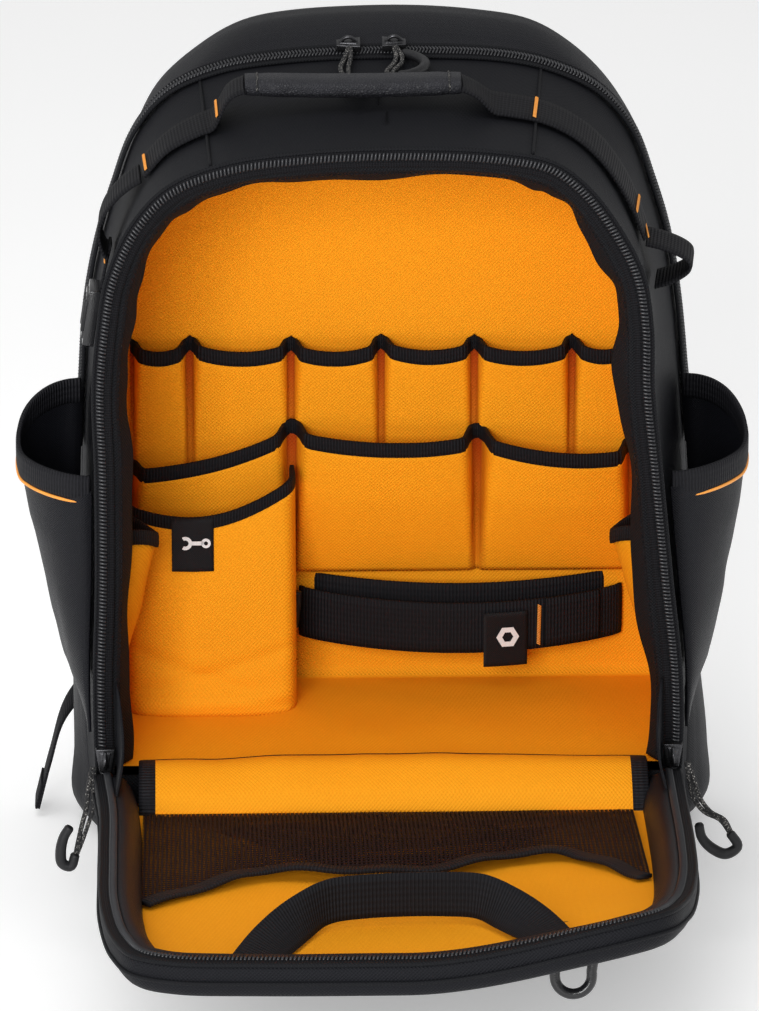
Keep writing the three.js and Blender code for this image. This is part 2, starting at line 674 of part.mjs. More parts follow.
// Pockets inside the compartment
function addInnerPockets() {
  // The middle row is sewn to the wall at its foot, and stands over the upper row above it.
  const wallFace = RIM_Y + MAIN_DEPTH - GAP - LINING_WALL - GAP;
  const addRow = (name, rows, lift, foot, halfFullness) => {
    const panel = [
      pocketLine(rows, wallFace, 0.1, () => foot),
      pocketLine(rows, wallFace - lift * 0.9, halfFullness, (edge) => (foot + edge) / 2),
      pocketLine(rows, wallFace - lift, 1, (edge) => edge),
    ];
    addPiece(name, cloth(panel, -POCKET_WALL), "orange_lining");
    const lineAbove = (rise) => pocketLine(rows, wallFace - lift, 1, (edge) => edge + rise);
    const binding = [lineAbove(GAP), lineAbove(GAP + BINDING_HEIGHT)];
    addPiece(`${name}_binding`, cloth(binding, -BINDING_WALL), "binding");
  };
  addRow("upper_pockets", UPPER_ROWS, 0, UPPER_FOOT, 0.35);
  addRow("middle_pockets", MIDDLE_ROWS, MIDDLE_LIFT, MIDDLE_FOOT, 0.6);

  // The box pocket stands on the compartment's floor and leans back towards its foot.
  const boxLine = (front, z, sag) => {
    const y = RIM_Y + front;
    const rear = RIM_Y + BOX_BACK;
    const corner = BOX_CORNER;
    const plan = [
      [BOX_LEFT, rear],
      [BOX_LEFT, y + corner],
      [BOX_LEFT + corner / 3, y + corner / 3],
      [BOX_LEFT + corner, y],
      [THREE.MathUtils.lerp(BOX_LEFT, BOX_RIGHT, 0.35), y - 3],
      [THREE.MathUtils.lerp(BOX_LEFT, BOX_RIGHT, 0.65), y - 3],
      [BOX_RIGHT - corner, y],
      [BOX_RIGHT - corner / 3, y + corner / 3],
      [BOX_RIGHT, y + corner],
      [BOX_RIGHT, rear],
    ];
    return plan.map(([x, place]) => {
      const share = (x - BOX_LEFT) / (BOX_RIGHT - BOX_LEFT);
      const dip = sag * Math.sin(share * Math.PI);
      return new THREE.Vector3(x, place, z - dip + sag * share);
    });
  };
  const boxRows = [
    boxLine(BOX_FOOT_FRONT, FLOOR_Z + GAP, 0),
    boxLine(BOX_TOP_FRONT - 9, (FLOOR_Z + BOX_TOP) / 2, 0),
    boxLine(BOX_TOP_FRONT, BOX_TOP, BOX_SAG),
  ];
  addPiece("box_pocket", cloth(boxRows, POCKET_WALL), "orange_lining");
  const boxEdge = [GAP, GAP + BINDING_HEIGHT].map((rise) =>
    boxRows[2].map((point) => point.clone().setZ(point.z + rise)),
  );
  addPiece("box_pocket_binding", cloth(boxEdge, BINDING_WALL), "binding");

  const tagRows = [BOX_TAG.foot, BOX_TAG.top].map((z, i) =>
    [-0.5, 0, 0.5].map((share) => {
      const lean = i === 0 ? 5.5 : 0;
      return new THREE.Vector3(BOX_TAG.centre + share * BOX_TAG.width, RIM_Y + BOX_TOP_FRONT - 3.4 - lean, z);
    }),
  );
  addPiece("box_pocket_tag", cloth(tagRows, -TAG_WALL), "tag_cloth");

  [-1, 1].forEach((side) => {
    const name = side < 0 ? "left" : "right";
    const wallX = (depth, z) => {
      const inward = SHELL_WALL + LINING_GAP + LINING_WALL + GAP * 2 + POCKET_WALL;
      return shellX(side, depth, z) - side * inward;
    };
    const line = (z, out, rise) =>
      Array.from({ length: WALL_POCKET_STEPS + 1 }, (_, i) => {
        const share = i / WALL_POCKET_STEPS;
        const depth = THREE.MathUtils.lerp(WALL_POCKET_START, WALL_POCKET_END, share);
        const proud = out * Math.sin(share * Math.PI) ** 0.6;
        return new THREE.Vector3(wallX(depth, z) - side * proud, RIM_Y + depth, z + rise);
      });
    const rows = [
      line(FLOOR_Z + GAP * 2, 1, 0),
      line((FLOOR_Z + WALL_POCKET_TOP) / 2, WALL_POCKET_PROUD * 0.55, 0),
      line(WALL_POCKET_TOP, WALL_POCKET_PROUD, 0),
    ];
    addPiece(`${name}_wall_pocket`, cloth(rows, -side * POCKET_WALL), "orange_lining");
  });
}

// Tool strap across the back wall, with its tag
function addToolStrap() {
  const wallFace = RIM_Y + MAIN_DEPTH - GAP - LINING_WALL - GAP;
  const strapLine = (z, extra, from = 0, to = 1, steps = 16) =>
    Array.from({ length: steps + 1 }, (_, i) => {
      const share = THREE.MathUtils.lerp(from, to, i / steps);
      const out = STRAP_PROUD * Math.sin(share * Math.PI) ** 0.7;
      const x = THREE.MathUtils.lerp(STRAP_LEFT, STRAP_RIGHT, share);
      return new THREE.Vector3(x, wallFace - out - extra, z);
    });
  const rows = [STRAP_FOOT, STRAP_FOOT + STRAP_HEIGHT].map((z) => strapLine(z, 0));
  addPiece("tool_strap", cloth(rows, -STRAP_WALL), "webbing");

  const length = STRAP_RIGHT - STRAP_LEFT;
  const from = (STRAP_TAG.centre - STRAP_TAG.width / 2 - STRAP_LEFT) / length;
  const to = (STRAP_TAG.centre + STRAP_TAG.width / 2 - STRAP_LEFT) / length;
  const tagRows = [STRAP_TAG.foot, STRAP_TAG.top].map((z) => strapLine(z, STRAP_WALL + GAP * 2, from, to, 4));
  addPiece("tool_strap_tag", cloth(tagRows, -TAG_WALL), "tag_cloth");
}

// Side pockets on the outside, open at the top
function addSidePockets() {
  [-1, 1].forEach((side) => {
    const name = side < 0 ? "left" : "right";
    const mouth = (share) => {
      const rise = THREE.MathUtils.smoothstep(share, 0.35, 1);
      return THREE.MathUtils.lerp(SIDE_MOUTH_FRONT, SIDE_MOUTH_BACK, rise);
    };
    const line = (up, out, rise) =>
      Array.from({ length: SIDE_POCKET_STEPS + 1 }, (_, i) => {
        const share = i / SIDE_POCKET_STEPS;
        const depth = THREE.MathUtils.lerp(SIDE_POCKET_START, SIDE_POCKET_END, share);
        const z = THREE.MathUtils.lerp(SIDE_POCKET_FOOT, mouth(share), up);
        const proud = SIDE_POCKET_PROUD * out * Math.sin(share * Math.PI) ** 0.6;
        const x = shellX(side, depth, z) + side * (proud + GAP * 2 + SIDE_POCKET_WALL);
        return new THREE.Vector3(x, RIM_Y + depth, z + rise);
      });
    const rows = SIDE_POCKET_ROWS.map((row) => line(row.up, row.out, 0));
    addPiece(`${name}_side_pocket`, cloth(rows, side * SIDE_POCKET_WALL), "satin_fabric");
    const edge = [GAP, GAP + SIDE_BINDING_HEIGHT].map((rise) => line(1, 1, rise));
    addPiece(`${name}_side_pocket_binding`, cloth(edge, side * SIDE_BINDING_WALL), "binding");
  });
}

// The flap: tray, lining, zip, edge band, lip, mesh pocket, handle, hook and gussets
function addFlap() {
  const outer = [
    flapArch(0, 0),
    flapArch(0, FLAP_ROUND - FLAP_DEPTH),
    flapArch(FLAP_ROUND, -FLAP_DEPTH),
    flapArch(FLAP_ROUND, -FLAP_DEPTH, FLAP_ROUND, 0.55),
  ];
  const inner = [
    flapArch(SHELL_WALL, 0),
    flapArch(SHELL_WALL, FLAP_ROUND - FLAP_DEPTH),
    flapArch(FLAP_ROUND, SHELL_WALL - FLAP_DEPTH),
    flapArch(FLAP_ROUND, SHELL_WALL - FLAP_DEPTH, FLAP_ROUND, 0.55),
  ];
  addPiece("flap_shell", cup(outer, inner), "black_fabric");

  const liningTop = SHELL_WALL - FLAP_DEPTH + LINING_GAP * 2 + LINING_WALL;
  const liningEdge = SHELL_WALL + FLAP_ROUND + GAP * 4;
  const liningRings = [
    flapArch(FLAP_ROUND, liningTop, FLAP_ROUND, 0.55),
    flapArch(liningEdge, liningTop),
    flapArch(liningEdge, liningTop - LINING_WALL),
    flapArch(FLAP_ROUND, liningTop - LINING_WALL, FLAP_ROUND, 0.55),
  ];
  addPiece("flap_lining", loft(liningRings), "orange_lining");

  const zipRows = [0, ZIP_WIDTH].map((edgeInset) => flapArch(edgeInset, GAP, ZIP_WALL + GAP * 4));
  addPiece("flap_zip", cloth(zipRows, -ZIP_WALL), "zip_coil");

  const bandRows = [
    flapArch(SHELL_WALL + GAP * 2, -GAP),
    flapArch(ZIP_WIDTH, -GAP * 2),
    flapArch(EDGE_BAND_WIDTH, -EDGE_BAND_DROP),
  ];
  addPiece("flap_edge_band", cloth(bandRows, FACING_WALL), "satin_fabric");

  const lip = [-LIP_LEFT, 0, LIP_RIGHT].map((x) =>
    LIP_ROWS.map((row) => new THREE.Vector3(x, RIM_Y + row.back, HINGE_Z + row.rise)),
  );
  addPiece("front_lip", cloth(lip, LIP_WALL), "orange_lining");

  const meshLine = (share, up) =>
    MESH_HEM.map((row) => {
      const along = THREE.MathUtils.lerp(MESH_START, row.along, share);
      const crown = MESH_RISE * Math.sin(share * Math.PI * 0.75) * Math.cos((row.across * Math.PI) / 2.2);
      return onFlap(row.across * MESH_HALF, along, liningTop + up + crown);
    });
  const meshRows = [0, 0.33, 0.66, 1].map((share) => meshLine(share, MESH_LIFT));
  addPiece("mesh_pocket", cloth(meshRows, MESH_WALL), "mesh");
  const hemEnd = 1 + HEM_WIDTH / 150;
  const hemRows = [1.006, hemEnd].map((share) => meshLine(share, MESH_LIFT));
  addPiece("mesh_pocket_hem", cloth(hemRows, BINDING_WALL), "binding");

  const handlePoints = HANDLE_ROWS.map((row) => onFlap(row.x, row.along, row.up));
  const handleTurns = HANDLE_ROWS.map((row, i) => {
    const [a, b] = [handlePoints[Math.max(i - 1, 0)], handlePoints[Math.min(i + 1, handlePoints.length - 1)]];
    const run = b.clone().sub(a).normalize();
    const upright = onFlap(0, 0, 1).sub(onFlap(0, 0, 0));
    const flat = upright.clone().cross(run).normalize();
    return flat.lerp(upright, row.lean).normalize();
  });
  addPiece("flap_handle", webbing(handlePoints, handleTurns, HANDLE_WIDTH, WEBBING_WALL), "webbing");

  const hookShape = new THREE.Shape();
  const [half, bar, drop] = [HOOK_WIDTH / 2, HOOK_BAR, HOOK_HEIGHT];
  hookShape.moveTo(-half - 2, 0);
  hookShape.lineTo(-half, half - drop);
  hookShape.absarc(0, half - drop, half, Math.PI, 2 * Math.PI, false);
  hookShape.lineTo(half + 2, 0);
  hookShape.lineTo(half + 2 - bar, 0);
  hookShape.lineTo(half - bar, half - drop);
  hookShape.absarc(0, half - drop, half - bar, 2 * Math.PI, Math.PI, true);
  hookShape.lineTo(bar - half - 2, 0);
  const thickness = { depth: HOOK_BAR, bevelEnabled: false, curveSegments: 8 };
  const hookBody = new THREE.ExtrudeGeometry(hookShape, thickness);
  const hook = addPiece("flap_hook", hookBody, "pull_plastic");
  hook.rotation.x = Math.PI / 2 - FLAP_ANGLE * 2;
  hook.position.copy(onFlap(HOOK_X, HOOK_ALONG, -FLAP_DEPTH - GAP * 4));

  [-1, 1].forEach((side) => {
    const name = side < 0 ? "left" : "right";
    const foot = archOf((t) => shellPoint(t, LINING_SILL), HINGE_Z + 6);
    const root = side < 0 ? foot[0] : foot[foot.length - 1];
    const inward = -side * (ZIP_WIDTH + SHELL_WALL);
    const high = new THREE.Vector3(root.x + inward, RIM_Y - ZIP_WALL - GAP * 3, HINGE_Z + 62);
    const low = new THREE.Vector3(root.x + inward, RIM_Y - ZIP_WALL - GAP * 3, HINGE_Z + 6);
    const reach = [60, 8].map((along) => onFlap(root.x + inward, along, ZIP_WALL + GAP * 2));
    const rows = [[high, reach[0]], [low, reach[1]]];
    addPiece(`${name}_gusset`, cloth(rows, side * LINING_WALL), "black_fabric");
  });
}

// Grip, its webbing ends, and the webbing over the top of the bag
function addTopWebbing() {
  const depth = GRIP_Y - RIM_Y;
  const gripFoot = shellTopZ((GRIP_LEFT + GRIP_RIGHT) / 2, depth) + GRIP_GAP;
  const gripLength = GRIP_RIGHT - GRIP_LEFT;
  const grip = addPiece("grip", plate(GRIP_DEPTH, GRIP_HEIGHT, gripLength, 5), "grip_leather");
  grip.rotation.set(Math.PI / 2, 0, Math.PI / 2, "ZXY");
  grip.position.set(GRIP_LEFT, GRIP_Y, gripFoot + GRIP_HEIGHT / 2);

  // Each band has its front and rear edge on the shell, and rises to the grip at its inner end.
  const edgeDepths = [depth - TOP_WEBBING_WIDTH / 2, depth + TOP_WEBBING_WIDTH / 2];
  const bandRow = (side, edgeDepth) => {
    const gripEnd = side < 0 ? GRIP_LEFT : GRIP_RIGHT;
    const footZ = side < 0 ? LOOP_TOP_Z : TAB_TOP_Z;
    const middle = archOf((t) => shellPoint(t, depth), HINGE_Z);
    const skin = inset(archOf((t) => shellPoint(t, edgeDepth), HINGE_Z), -GAP * 2);
    const lying = skin.filter((_, i) => {
      const point = middle[i];
      return (point.x - gripEnd) * side > GRIP_RUN && point.z > footZ + 6;
    });
    const foot = new THREE.Vector3(shellX(side, edgeDepth, footZ) + side * GAP * 2, RIM_Y + edgeDepth, footZ);
    const rise = (along, z) => new THREE.Vector3(gripEnd + side * along, RIM_Y + edgeDepth, z);
    const climb = [
      rise(GAP, gripFoot + GRIP_HEIGHT * 0.5),
      rise(GRIP_RUN * 0.35, gripFoot + GRIP_HEIGHT * 0.1),
      rise(GRIP_RUN * 0.75, shellTopZ(gripEnd + side * GRIP_RUN * 0.75, edgeDepth) + GAP * 4),
    ];
    return side < 0 ? [...climb, ...lying.toReversed(), foot] : [...climb, ...lying, foot];
  };
  const looped = (side, topZ, footZ, proud) =>
    edgeDepths.map((edgeDepth) =>
      Array.from({ length: LOOP_STEPS + 1 }, (_, i) => {
        const share = i / LOOP_STEPS;
        const z = THREE.MathUtils.lerp(topZ, footZ, share);
        const out = GAP * 2 + proud * Math.sin(share * Math.PI) ** 0.8;
        return new THREE.Vector3(shellX(side, edgeDepth, z) + side * out, RIM_Y + edgeDepth, z);
      }),
    );
  [-1, 1].forEach((side) => {
    const name = side < 0 ? "left_top_webbing" : "right_top_webbing";
    const rows = edgeDepths.map((edgeDepth) => bandRow(side, edgeDepth));
    addPiece(name, cloth(rows, -side * WEBBING_WALL), "webbing");
  });
  const gearLoop = looped(-1, LOOP_TOP_Z - 3, LOOP_FOOT_Z, LOOP_PROUD);
  addPiece("gear_loop", cloth(gearLoop, WEBBING_WALL), "webbing");
  const tab = looped(1, TAB_TOP_Z - 3, TAB_FOOT_Z, TAB_PROUD);
  addPiece("right_tab", cloth(tab, -WEBBING_WALL), "webbing");

  // The buckle lies flat on the left side, below the gear loop.
  const buckle = addPiece("side_buckle", plate(BUCKLE_HEIGHT, BUCKLE_WIDTH, BUCKLE_WALL, 4), "pull_plastic");
  const onSide = (place, z) => new THREE.Vector3(shellX(-1, place, z), RIM_Y + place, z);
  const centre = onSide(depth, BUCKLE_TOP_Z - BUCKLE_HEIGHT / 2);
  const upward = onSide(depth, BUCKLE_TOP_Z).sub(centre);
  const backward = onSide(depth + BUCKLE_WIDTH / 2, centre.z).sub(centre);
  const outward = backward.cross(upward).negate().normalize();
  buckle.quaternion.setFromUnitVectors(new THREE.Vector3(0, 0, 1), outward);
  buckle.position.copy(centre).addScaledVector(outward, GAP * 3);
}

// Back panel, shoulder straps, lower webbing, ladder locks and the free tail
function addBack() {
  // The pad's outline follows the back's, and its foot rises with its inset.
  const padEdge = (edge, place) => {
    const arch = inset(archOf((t) => backPoint(t, BACK_Y + place), PAD_FOOT), edge);
    const foot = PAD_FOOT + edge - PAD_INSET;
    const [from, to] = [arch[0].z, Math.max(...arch.map((point) => point.z))];
    return arch.map((point) => point.setZ(THREE.MathUtils.mapLinear(point.z, from, to, foot, to)));
  };
  const padRings = [
    padEdge(PAD_INSET, GAP),
    padEdge(PAD_INSET, PAD_DEPTH * 0.6),
    padEdge(PAD_INSET + PAD_DEPTH, PAD_DEPTH),
  ];
  addPiece("back_pad", loft(padRings), "padding");

  const sideways = new THREE.Vector3(1, 0, 0);
  const behind = BACK_Y + PAD_DEPTH + GAP;
  [-1, 1].forEach((side) => {
    const name = side < 0 ? "left" : "right";
    const rows = [-0.5, -0.3, 0.3, 0.5].map((share) =>
      SHOULDER_ROWS.map((row) => {
        const crown = Math.abs(share) > 0.4 ? 3 : 0;
        return new THREE.Vector3(side * row.x + share * row.width, behind + row.back + crown, row.z);
      }),
    );
    addPiece(`${name}_shoulder_strap`, cloth(rows, SHOULDER_WALL), "padding");

    const last = SHOULDER_ROWS[SHOULDER_ROWS.length - 1];
    const lockBody = plate(LOCK_WIDTH, LOCK_HEIGHT, LOCK_DEPTH, 3);
    const lock = addPiece(`${name}_ladder_lock`, lockBody, "pull_plastic");
    lock.rotation.x = Math.PI / 2;
    lock.position.set(side * last.x, behind + last.back + LOCK_DEPTH + 2, last.z - LOCK_HEIGHT / 2 - 2.1);

    const points = LOWER_ROWS.map((row) => new THREE.Vector3(side * row.x, behind + row.back, row.z));
    const turns = points.map(() => sideways);
    const lower = webbing(points, turns, STRAP_WEBBING_WIDTH, WEBBING_WALL);
    addPiece(`${name}_lower_webbing`, lower, "webbing");
  });

  const tail = TAIL_ROWS.map((row) => new THREE.Vector3(row.x, BACK_Y + row.back, row.z));
  const turns = TAIL_ROWS.map((row) => {
    return new THREE.Vector3(0.2, 0, 1).lerp(new THREE.Vector3(0, 1, 0.1), row.turn).normalize();
  });
  addPiece("strap_tail", webbing(tail, turns, STRAP_WEBBING_WIDTH, WEBBING_WALL), "webbing");
}

// Zip sliders and pulls
function addPulls() {
  const front = archOf((t) => shellPoint(t, 0), HINGE_Z + SLIDER_LENGTH / 2);
  const middles = inset(front, ZIP_WIDTH / 2);
  const frontY = RIM_Y - GAP * 2 - ZIP_WALL;
  Object.entries(PULLS).forEach(([name, pull]) => {
    addPiece(`${name}_cord`, tube(pull.cord, CORD_DIAMETER, CORD_STEPS), "pull_cord");
    addPiece(`${name}_pull_end`, tube(pull.end, END_DIAMETER, END_STEPS), "pull_plastic");
    const body = plate(SLIDER_WIDTH, SLIDER_LENGTH, SLIDER_WALL, 3);
    const slider = addPiece(`${name}_slider`, body, "slider_metal");
    if (name.startsWith("front")) {
      const foot = name.endsWith("left") ? middles[0] : middles[middles.length - 1];
      slider.rotation.x = Math.PI / 2;
      slider.position.set(foot.x, frontY, foot.z + ZIP_WALL + GAP * 4);
    } else {
      const x = pull.cord[0][0];
      slider.rotation.set(REAR_ZIP_TILT, 0, Math.PI / 2);
      slider.position.set(x, SEAM_Y, shellTopZ(x, MAIN_DEPTH) + ZIP_WALL + REAR_ZIP_LIFT + GAP * 5);
    }
  });
}

addCompartments();
addZips();
addInnerPockets();
addToolStrap();
addSidePockets();
addFlap();
addTopWebbing();
addBack();
addPulls();

export default backpack;
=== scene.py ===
import functools
import math
import bpy
import numpy as np
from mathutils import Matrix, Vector, noise


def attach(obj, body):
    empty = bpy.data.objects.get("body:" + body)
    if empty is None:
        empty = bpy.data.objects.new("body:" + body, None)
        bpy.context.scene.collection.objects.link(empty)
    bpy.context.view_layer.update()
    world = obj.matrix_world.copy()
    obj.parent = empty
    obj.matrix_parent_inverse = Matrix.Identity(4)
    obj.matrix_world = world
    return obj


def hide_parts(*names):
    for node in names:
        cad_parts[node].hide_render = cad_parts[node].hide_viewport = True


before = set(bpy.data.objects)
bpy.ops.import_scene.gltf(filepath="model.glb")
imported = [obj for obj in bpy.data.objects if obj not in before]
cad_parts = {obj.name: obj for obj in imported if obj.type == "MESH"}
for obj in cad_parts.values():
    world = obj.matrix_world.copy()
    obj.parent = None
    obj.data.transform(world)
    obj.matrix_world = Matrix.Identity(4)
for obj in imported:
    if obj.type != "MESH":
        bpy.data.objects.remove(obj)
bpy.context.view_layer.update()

# The table and the light. A tool backpack stands on a white table, its flap open towards the
# camera, in a white room with a large soft box in front, and weak ones above and on both sides.
camera_data = bpy.data.cameras.new("camera")
camera_data.sensor_width = 36
camera_data.lens = 236.6
camera_data.clip_end = 100
camera = bpy.data.objects.new("camera", camera_data)
bpy.context.collection.objects.link(camera)
aim = Vector((-0.004, -0.118, 0.280))
turn, lift = math.radians(-1.5), math.radians(19)
towards = Vector((math.sin(turn) * math.cos(lift), -math.cos(turn) * math.cos(lift), math.sin(lift)))
camera.location = aim + towards * 4.0
camera.rotation_euler = towards.to_track_quat("Z", "Y").to_euler()
bpy.context.scene.camera = camera

world = bpy.data.worlds.new("white_room")
world.use_nodes = True
world.node_tree.nodes["Background"].inputs["Color"].default_value = (1.0, 1.0, 1.0, 1)
world.node_tree.nodes["Background"].inputs["Strength"].default_value = 0.5
bpy.context.scene.world = world
bpy.context.scene.view_settings.view_transform = "Standard"

SOFT_BOXES = [
    ("front_box", (-0.9, -3.5, 1.45), (0, 0, 0.3), 1.5, 92),
    ("top_box", (-0.4, -0.6, 2.8), (0, 0, 0.2), 2.0, 20),
    ("left_box", (-2.6, 0.2, 1.0), (0, 0, 0.3), 1.4, 5),
    ("right_box", (2.6, 0.4, 1.0), (0, 0, 0.3), 1.4, 6),
]
for name, place, look_at, size, power in SOFT_BOXES:
    light = bpy.data.lights.new(name, "AREA")
    light.size = size
    light.energy = power
    lamp = bpy.data.objects.new(name, light)
    bpy.context.collection.objects.link(lamp)
    lamp.location = place
    lamp.rotation_euler = (Vector(place) - Vector(look_at)).to_track_quat("Z", "Y").to_euler()


class Value:
    """One number, colour or vector inside a finish, with the sums that build on it."""

    def __init__(self, finish, out):
        self.finish, self.out = finish, out

    def sum_of(self, operation, first, second):
        return self.finish.node("ShaderNodeMath", {"operation": operation}, {0: first, 1: second})

    def __add__(self, other):
        return self.sum_of("ADD", self, other)

    def __mul__(self, other):
        return self.sum_of("MULTIPLY", self, other)

    def __sub__(self, other):
        return self.sum_of("SUBTRACT", self, other)

    def __rsub__(self, other):
        return self.sum_of("SUBTRACT", other, self)

    def __gt__(self, other):
        return self.sum_of("GREATER_THAN", self, other)

    __radd__ = __add__
    __rmul__ = __mul__


class Finish:
    """A material of the bag: its constants go on the shader, its patterns are nodes."""

    def __init__(self, name, **constants):
        self.material = bpy.data.materials.new(name)
        self.material.use_nodes = True
        self.tree = self.material.node_tree
        self.shader = self.tree.nodes["Principled BSDF"]
        for socket, value in constants.items():
            self.shader.inputs[socket.replace("_", " ")].default_value = value

    def node(self, kind, settings, sockets, out=0):
        made = self.tree.nodes.new(kind)
        for key, value in settings.items():
            setattr(made, key, value)
        for key, value in sockets.items():
            if isinstance(value, Value):
                self.tree.links.new(value.out, made.inputs[key])
            else:
                made.inputs[key].default_value = value
        return Value(self, made.outputs[out])

    def place(self, kind="Object"):
        return self.node("ShaderNodeTexCoord", {}, {}, kind)

    def part(self, vector, axis):
        return self.node("ShaderNodeSeparateXYZ", {}, {0: vector}, axis)

    def cloud(self, scale, detail=3.0, kind="Object"):
        return self.node(
            "ShaderNodeTexNoise", {}, {"Vector": self.place(kind), "Scale": scale, "Detail": detail}, 0
        )

    def wave(self, value, pitch):
        turned = self.node("ShaderNodeMath", {"operation": "SINE"}, {0: value * (2 * math.pi / pitch)})
        return turned * 0.5 + 0.5

    def blend(self, share, first, second):
        pair = {0: share, 6: first, 7: second}
        return self.node("ShaderNodeMix", {"data_type": "RGBA"}, pair, 2)

    def colour(self, value):
        self.tree.links.new(value.out, self.shader.inputs["Base Color"])

    def feed(self, socket, value):
        self.tree.links.new(value.out, self.shader.inputs[socket])

    def relief(self, height, distance, strength=1.0):
        bumped = self.node(
            "ShaderNodeBump", {}, {"Height": height, "Distance": distance, "Strength": strength}
        )
        self.feed("Normal", bumped)


table = Finish("white_table", Roughness=0.7, Emission_Strength=0.24, Emission_Color=(1, 1, 1, 1))
table.colour(table.blend(table.cloud(3), (0.95, 0.95, 0.95, 1), (0.97, 0.97, 0.97, 1)))
bpy.ops.object.select_all(action="DESELECT")
bpy.ops.mesh.primitive_plane_add(size=24, location=(0, 0, 0))
floor = bpy.context.object
floor.name = "floor"
floor.data.materials.append(table.material)


# The zip pulls. Each is two short strands of braided cord from its slider to a moulded end that
# holds them in a hook shape. The two rear ones lie on the top, behind the grip.
class Route:
    """A smooth line through points, closed or open, read at a share of its length in points."""

    def __init__(self, points, closed=False):
        self.points = [np.array(point, float) for point in points]
        self.closed = closed

    def at(self, t):
        points, count = self.points, len(self.points)
        place = (count - (0 if self.closed else 1)) * t
        i = int(math.floor(place))
        weight = place - i
        if self.closed:
            i += 0 if i > 0 else (abs(i) // count + 1) * count
        elif weight == 0 and i == count - 1:
            i, weight = count - 2, 1.0
        before = points[(i - 1) % count] if self.closed or i > 0 else 2 * points[0] - points[1]
        after = points[(i + 2) % count] if self.closed or i + 2 < count else 2 * points[-1] - points[-2]
        ends = [before, points[i % count], points[(i + 1) % count], after]
        gaps = [float(np.sum((b - a) ** 2)) ** 0.25 for a, b in zip(ends, ends[1:])]
        if gaps[1] < 1e-4:
            gaps[1] = 1.0
        gaps = [gap if gap >= 1e-4 else gaps[1] for gap in gaps]
        a, b, c, d = ends
        slope = ((b - a) / gaps[0] - (c - a) / (gaps[0] + gaps[1]) + (c - b) / gaps[1]) * gaps[1]
        next_slope = ((c - b) / gaps[1] - (d - b) / (gaps[1] + gaps[2]) + (d - c) / gaps[2]) * gaps[1]
        bend, twist = -3 * b + 3 * c - 2 * slope - next_slope, 2 * b - 2 * c + slope + next_slope
        return b + weight * slope + weight ** 2 * bend + weight ** 3 * twist


def evenly(points, count):
    line = np.array(points, float)
    run = np.concatenate([[0], np.cumsum(np.linalg.norm(np.diff(line, axis=0), axis=1))])
    places = np.linspace(0, run[-1], count)
    return np.stack([np.interp(places, run, line[:, k]) for k in range(3)], axis=1)


def smooth_line(points, count):
    route = Route(points)
    return evenly([route.at(i / 400) for i in range(401)], count)


def unit(vectors):
    return vectors / np.maximum(np.linalg.norm(vectors, axis=-1, keepdims=True), 1e-9)


def make_piece(name, points, faces, finish, stands_for=(), uvs=None, smooth=True, folds=None):
    """Points in millimetres and faces become a piece that rides on the bag. Its folds say how deep
    in a pleat each point lies, from 0 to 1, for a cloth that paints deep red shade there."""
    mesh = bpy.data.meshes.new(name)
    mesh.from_pydata((np.asarray(points) * 0.001).tolist(), [], faces)
    mesh.update()
    layer = mesh.uv_layers.new(name="UVMap")
    if uvs is None:
        at = np.array([vertex.co for vertex in mesh.vertices])
        for face in mesh.polygons:
            flat = [k for k in (0, 1, 2) if k != int(np.argmax(np.abs(face.normal)))]
            for loop, corner in zip(face.loop_indices, face.vertices):
                layer.data[loop].uv = at[corner][flat]
    else:
        for loop, uv in enumerate(uvs):
            layer.data[loop].uv = uv
    if smooth:
        mesh.polygons.foreach_set("use_smooth", [True] * len(mesh.polygons))
    if folds is not None:
        mesh.attributes.new("pleat_shade", "FLOAT", "POINT").data.foreach_set(
            "value", np.asarray(folds, np.float32).ravel()
        )
    piece = bpy.data.objects.new(name, mesh)
    bpy.context.collection.objects.link(piece)
    mesh.materials.append(finish.material)
    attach(piece, "root")
    if stands_for:
        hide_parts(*stands_for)
    return piece


def swept(spine, across, width, height, section=12, power=4.0, swell=None):
    """Points, faces and UVs of a band swept along a line. Its section is a rounded oblong:
    width runs along the across vectors and height at right angles to them and the line."""
    spine, across = np.asarray(spine, float), unit(np.asarray(across, float))
    along = unit(np.gradient(spine, axis=0))
    up = unit(np.cross(along, across))
    angles = np.linspace(0, 2 * math.pi, section, endpoint=False) + math.pi / section
    c, s = np.cos(angles), np.sin(angles)
    reach = (np.abs(c) ** power + np.abs(s) ** power) ** (-1 / power)
    swell = np.ones(len(spine)) if swell is None else np.asarray(swell)
    wide = (c * reach * width / 2)[None, :, None] * swell[:, None, None]
    high = (s * reach * height / 2)[None, :, None] * swell[:, None, None]
    points = (spine[:, None, :] + across[:, None, :] * wide + up[:, None, :] * high).reshape(-1, 3)
    run = np.concatenate([[0], np.cumsum(np.linalg.norm(np.diff(spine, axis=0), axis=1))]) * 0.001
    girth = np.concatenate(
        [[0], np.cumsum(np.hypot(np.diff(c * reach * width / 2), np.diff(s * reach * height / 2)))]
    )
    girth = np.append(girth, girth[-1] + girth[1]) * 0.001
    faces, uvs = [], []
    for i in range(len(spine) - 1):
        for j in range(section):
            k = (j + 1) % section
            faces.append((i * section + j, i * section + k, (i + 1) * section + k, (i + 1) * section + j))
            uvs += [
                (run[i], girth[j]),
                (run[i], girth[j + 1]),
                (run[i + 1], girth[j + 1]),
                (run[i + 1], girth[j]),
            ]
    first = tuple(range(section))[::-1]
    last = tuple((len(spine) - 1) * section + j for j in range(section))
    faces += [first, last]
    uvs += [(run[0], girth[j]) for j in first] + [(run[-1], girth[j]) for j in range(section)]
    return points, faces, uvs


def band(name, spine, across, width, height, finish, slot, stands_for=(), **shape):
    points, faces, uvs = swept(spine, across, width, height, **shape)
    return make_piece(name, points, faces, finish, stands_for, uvs)


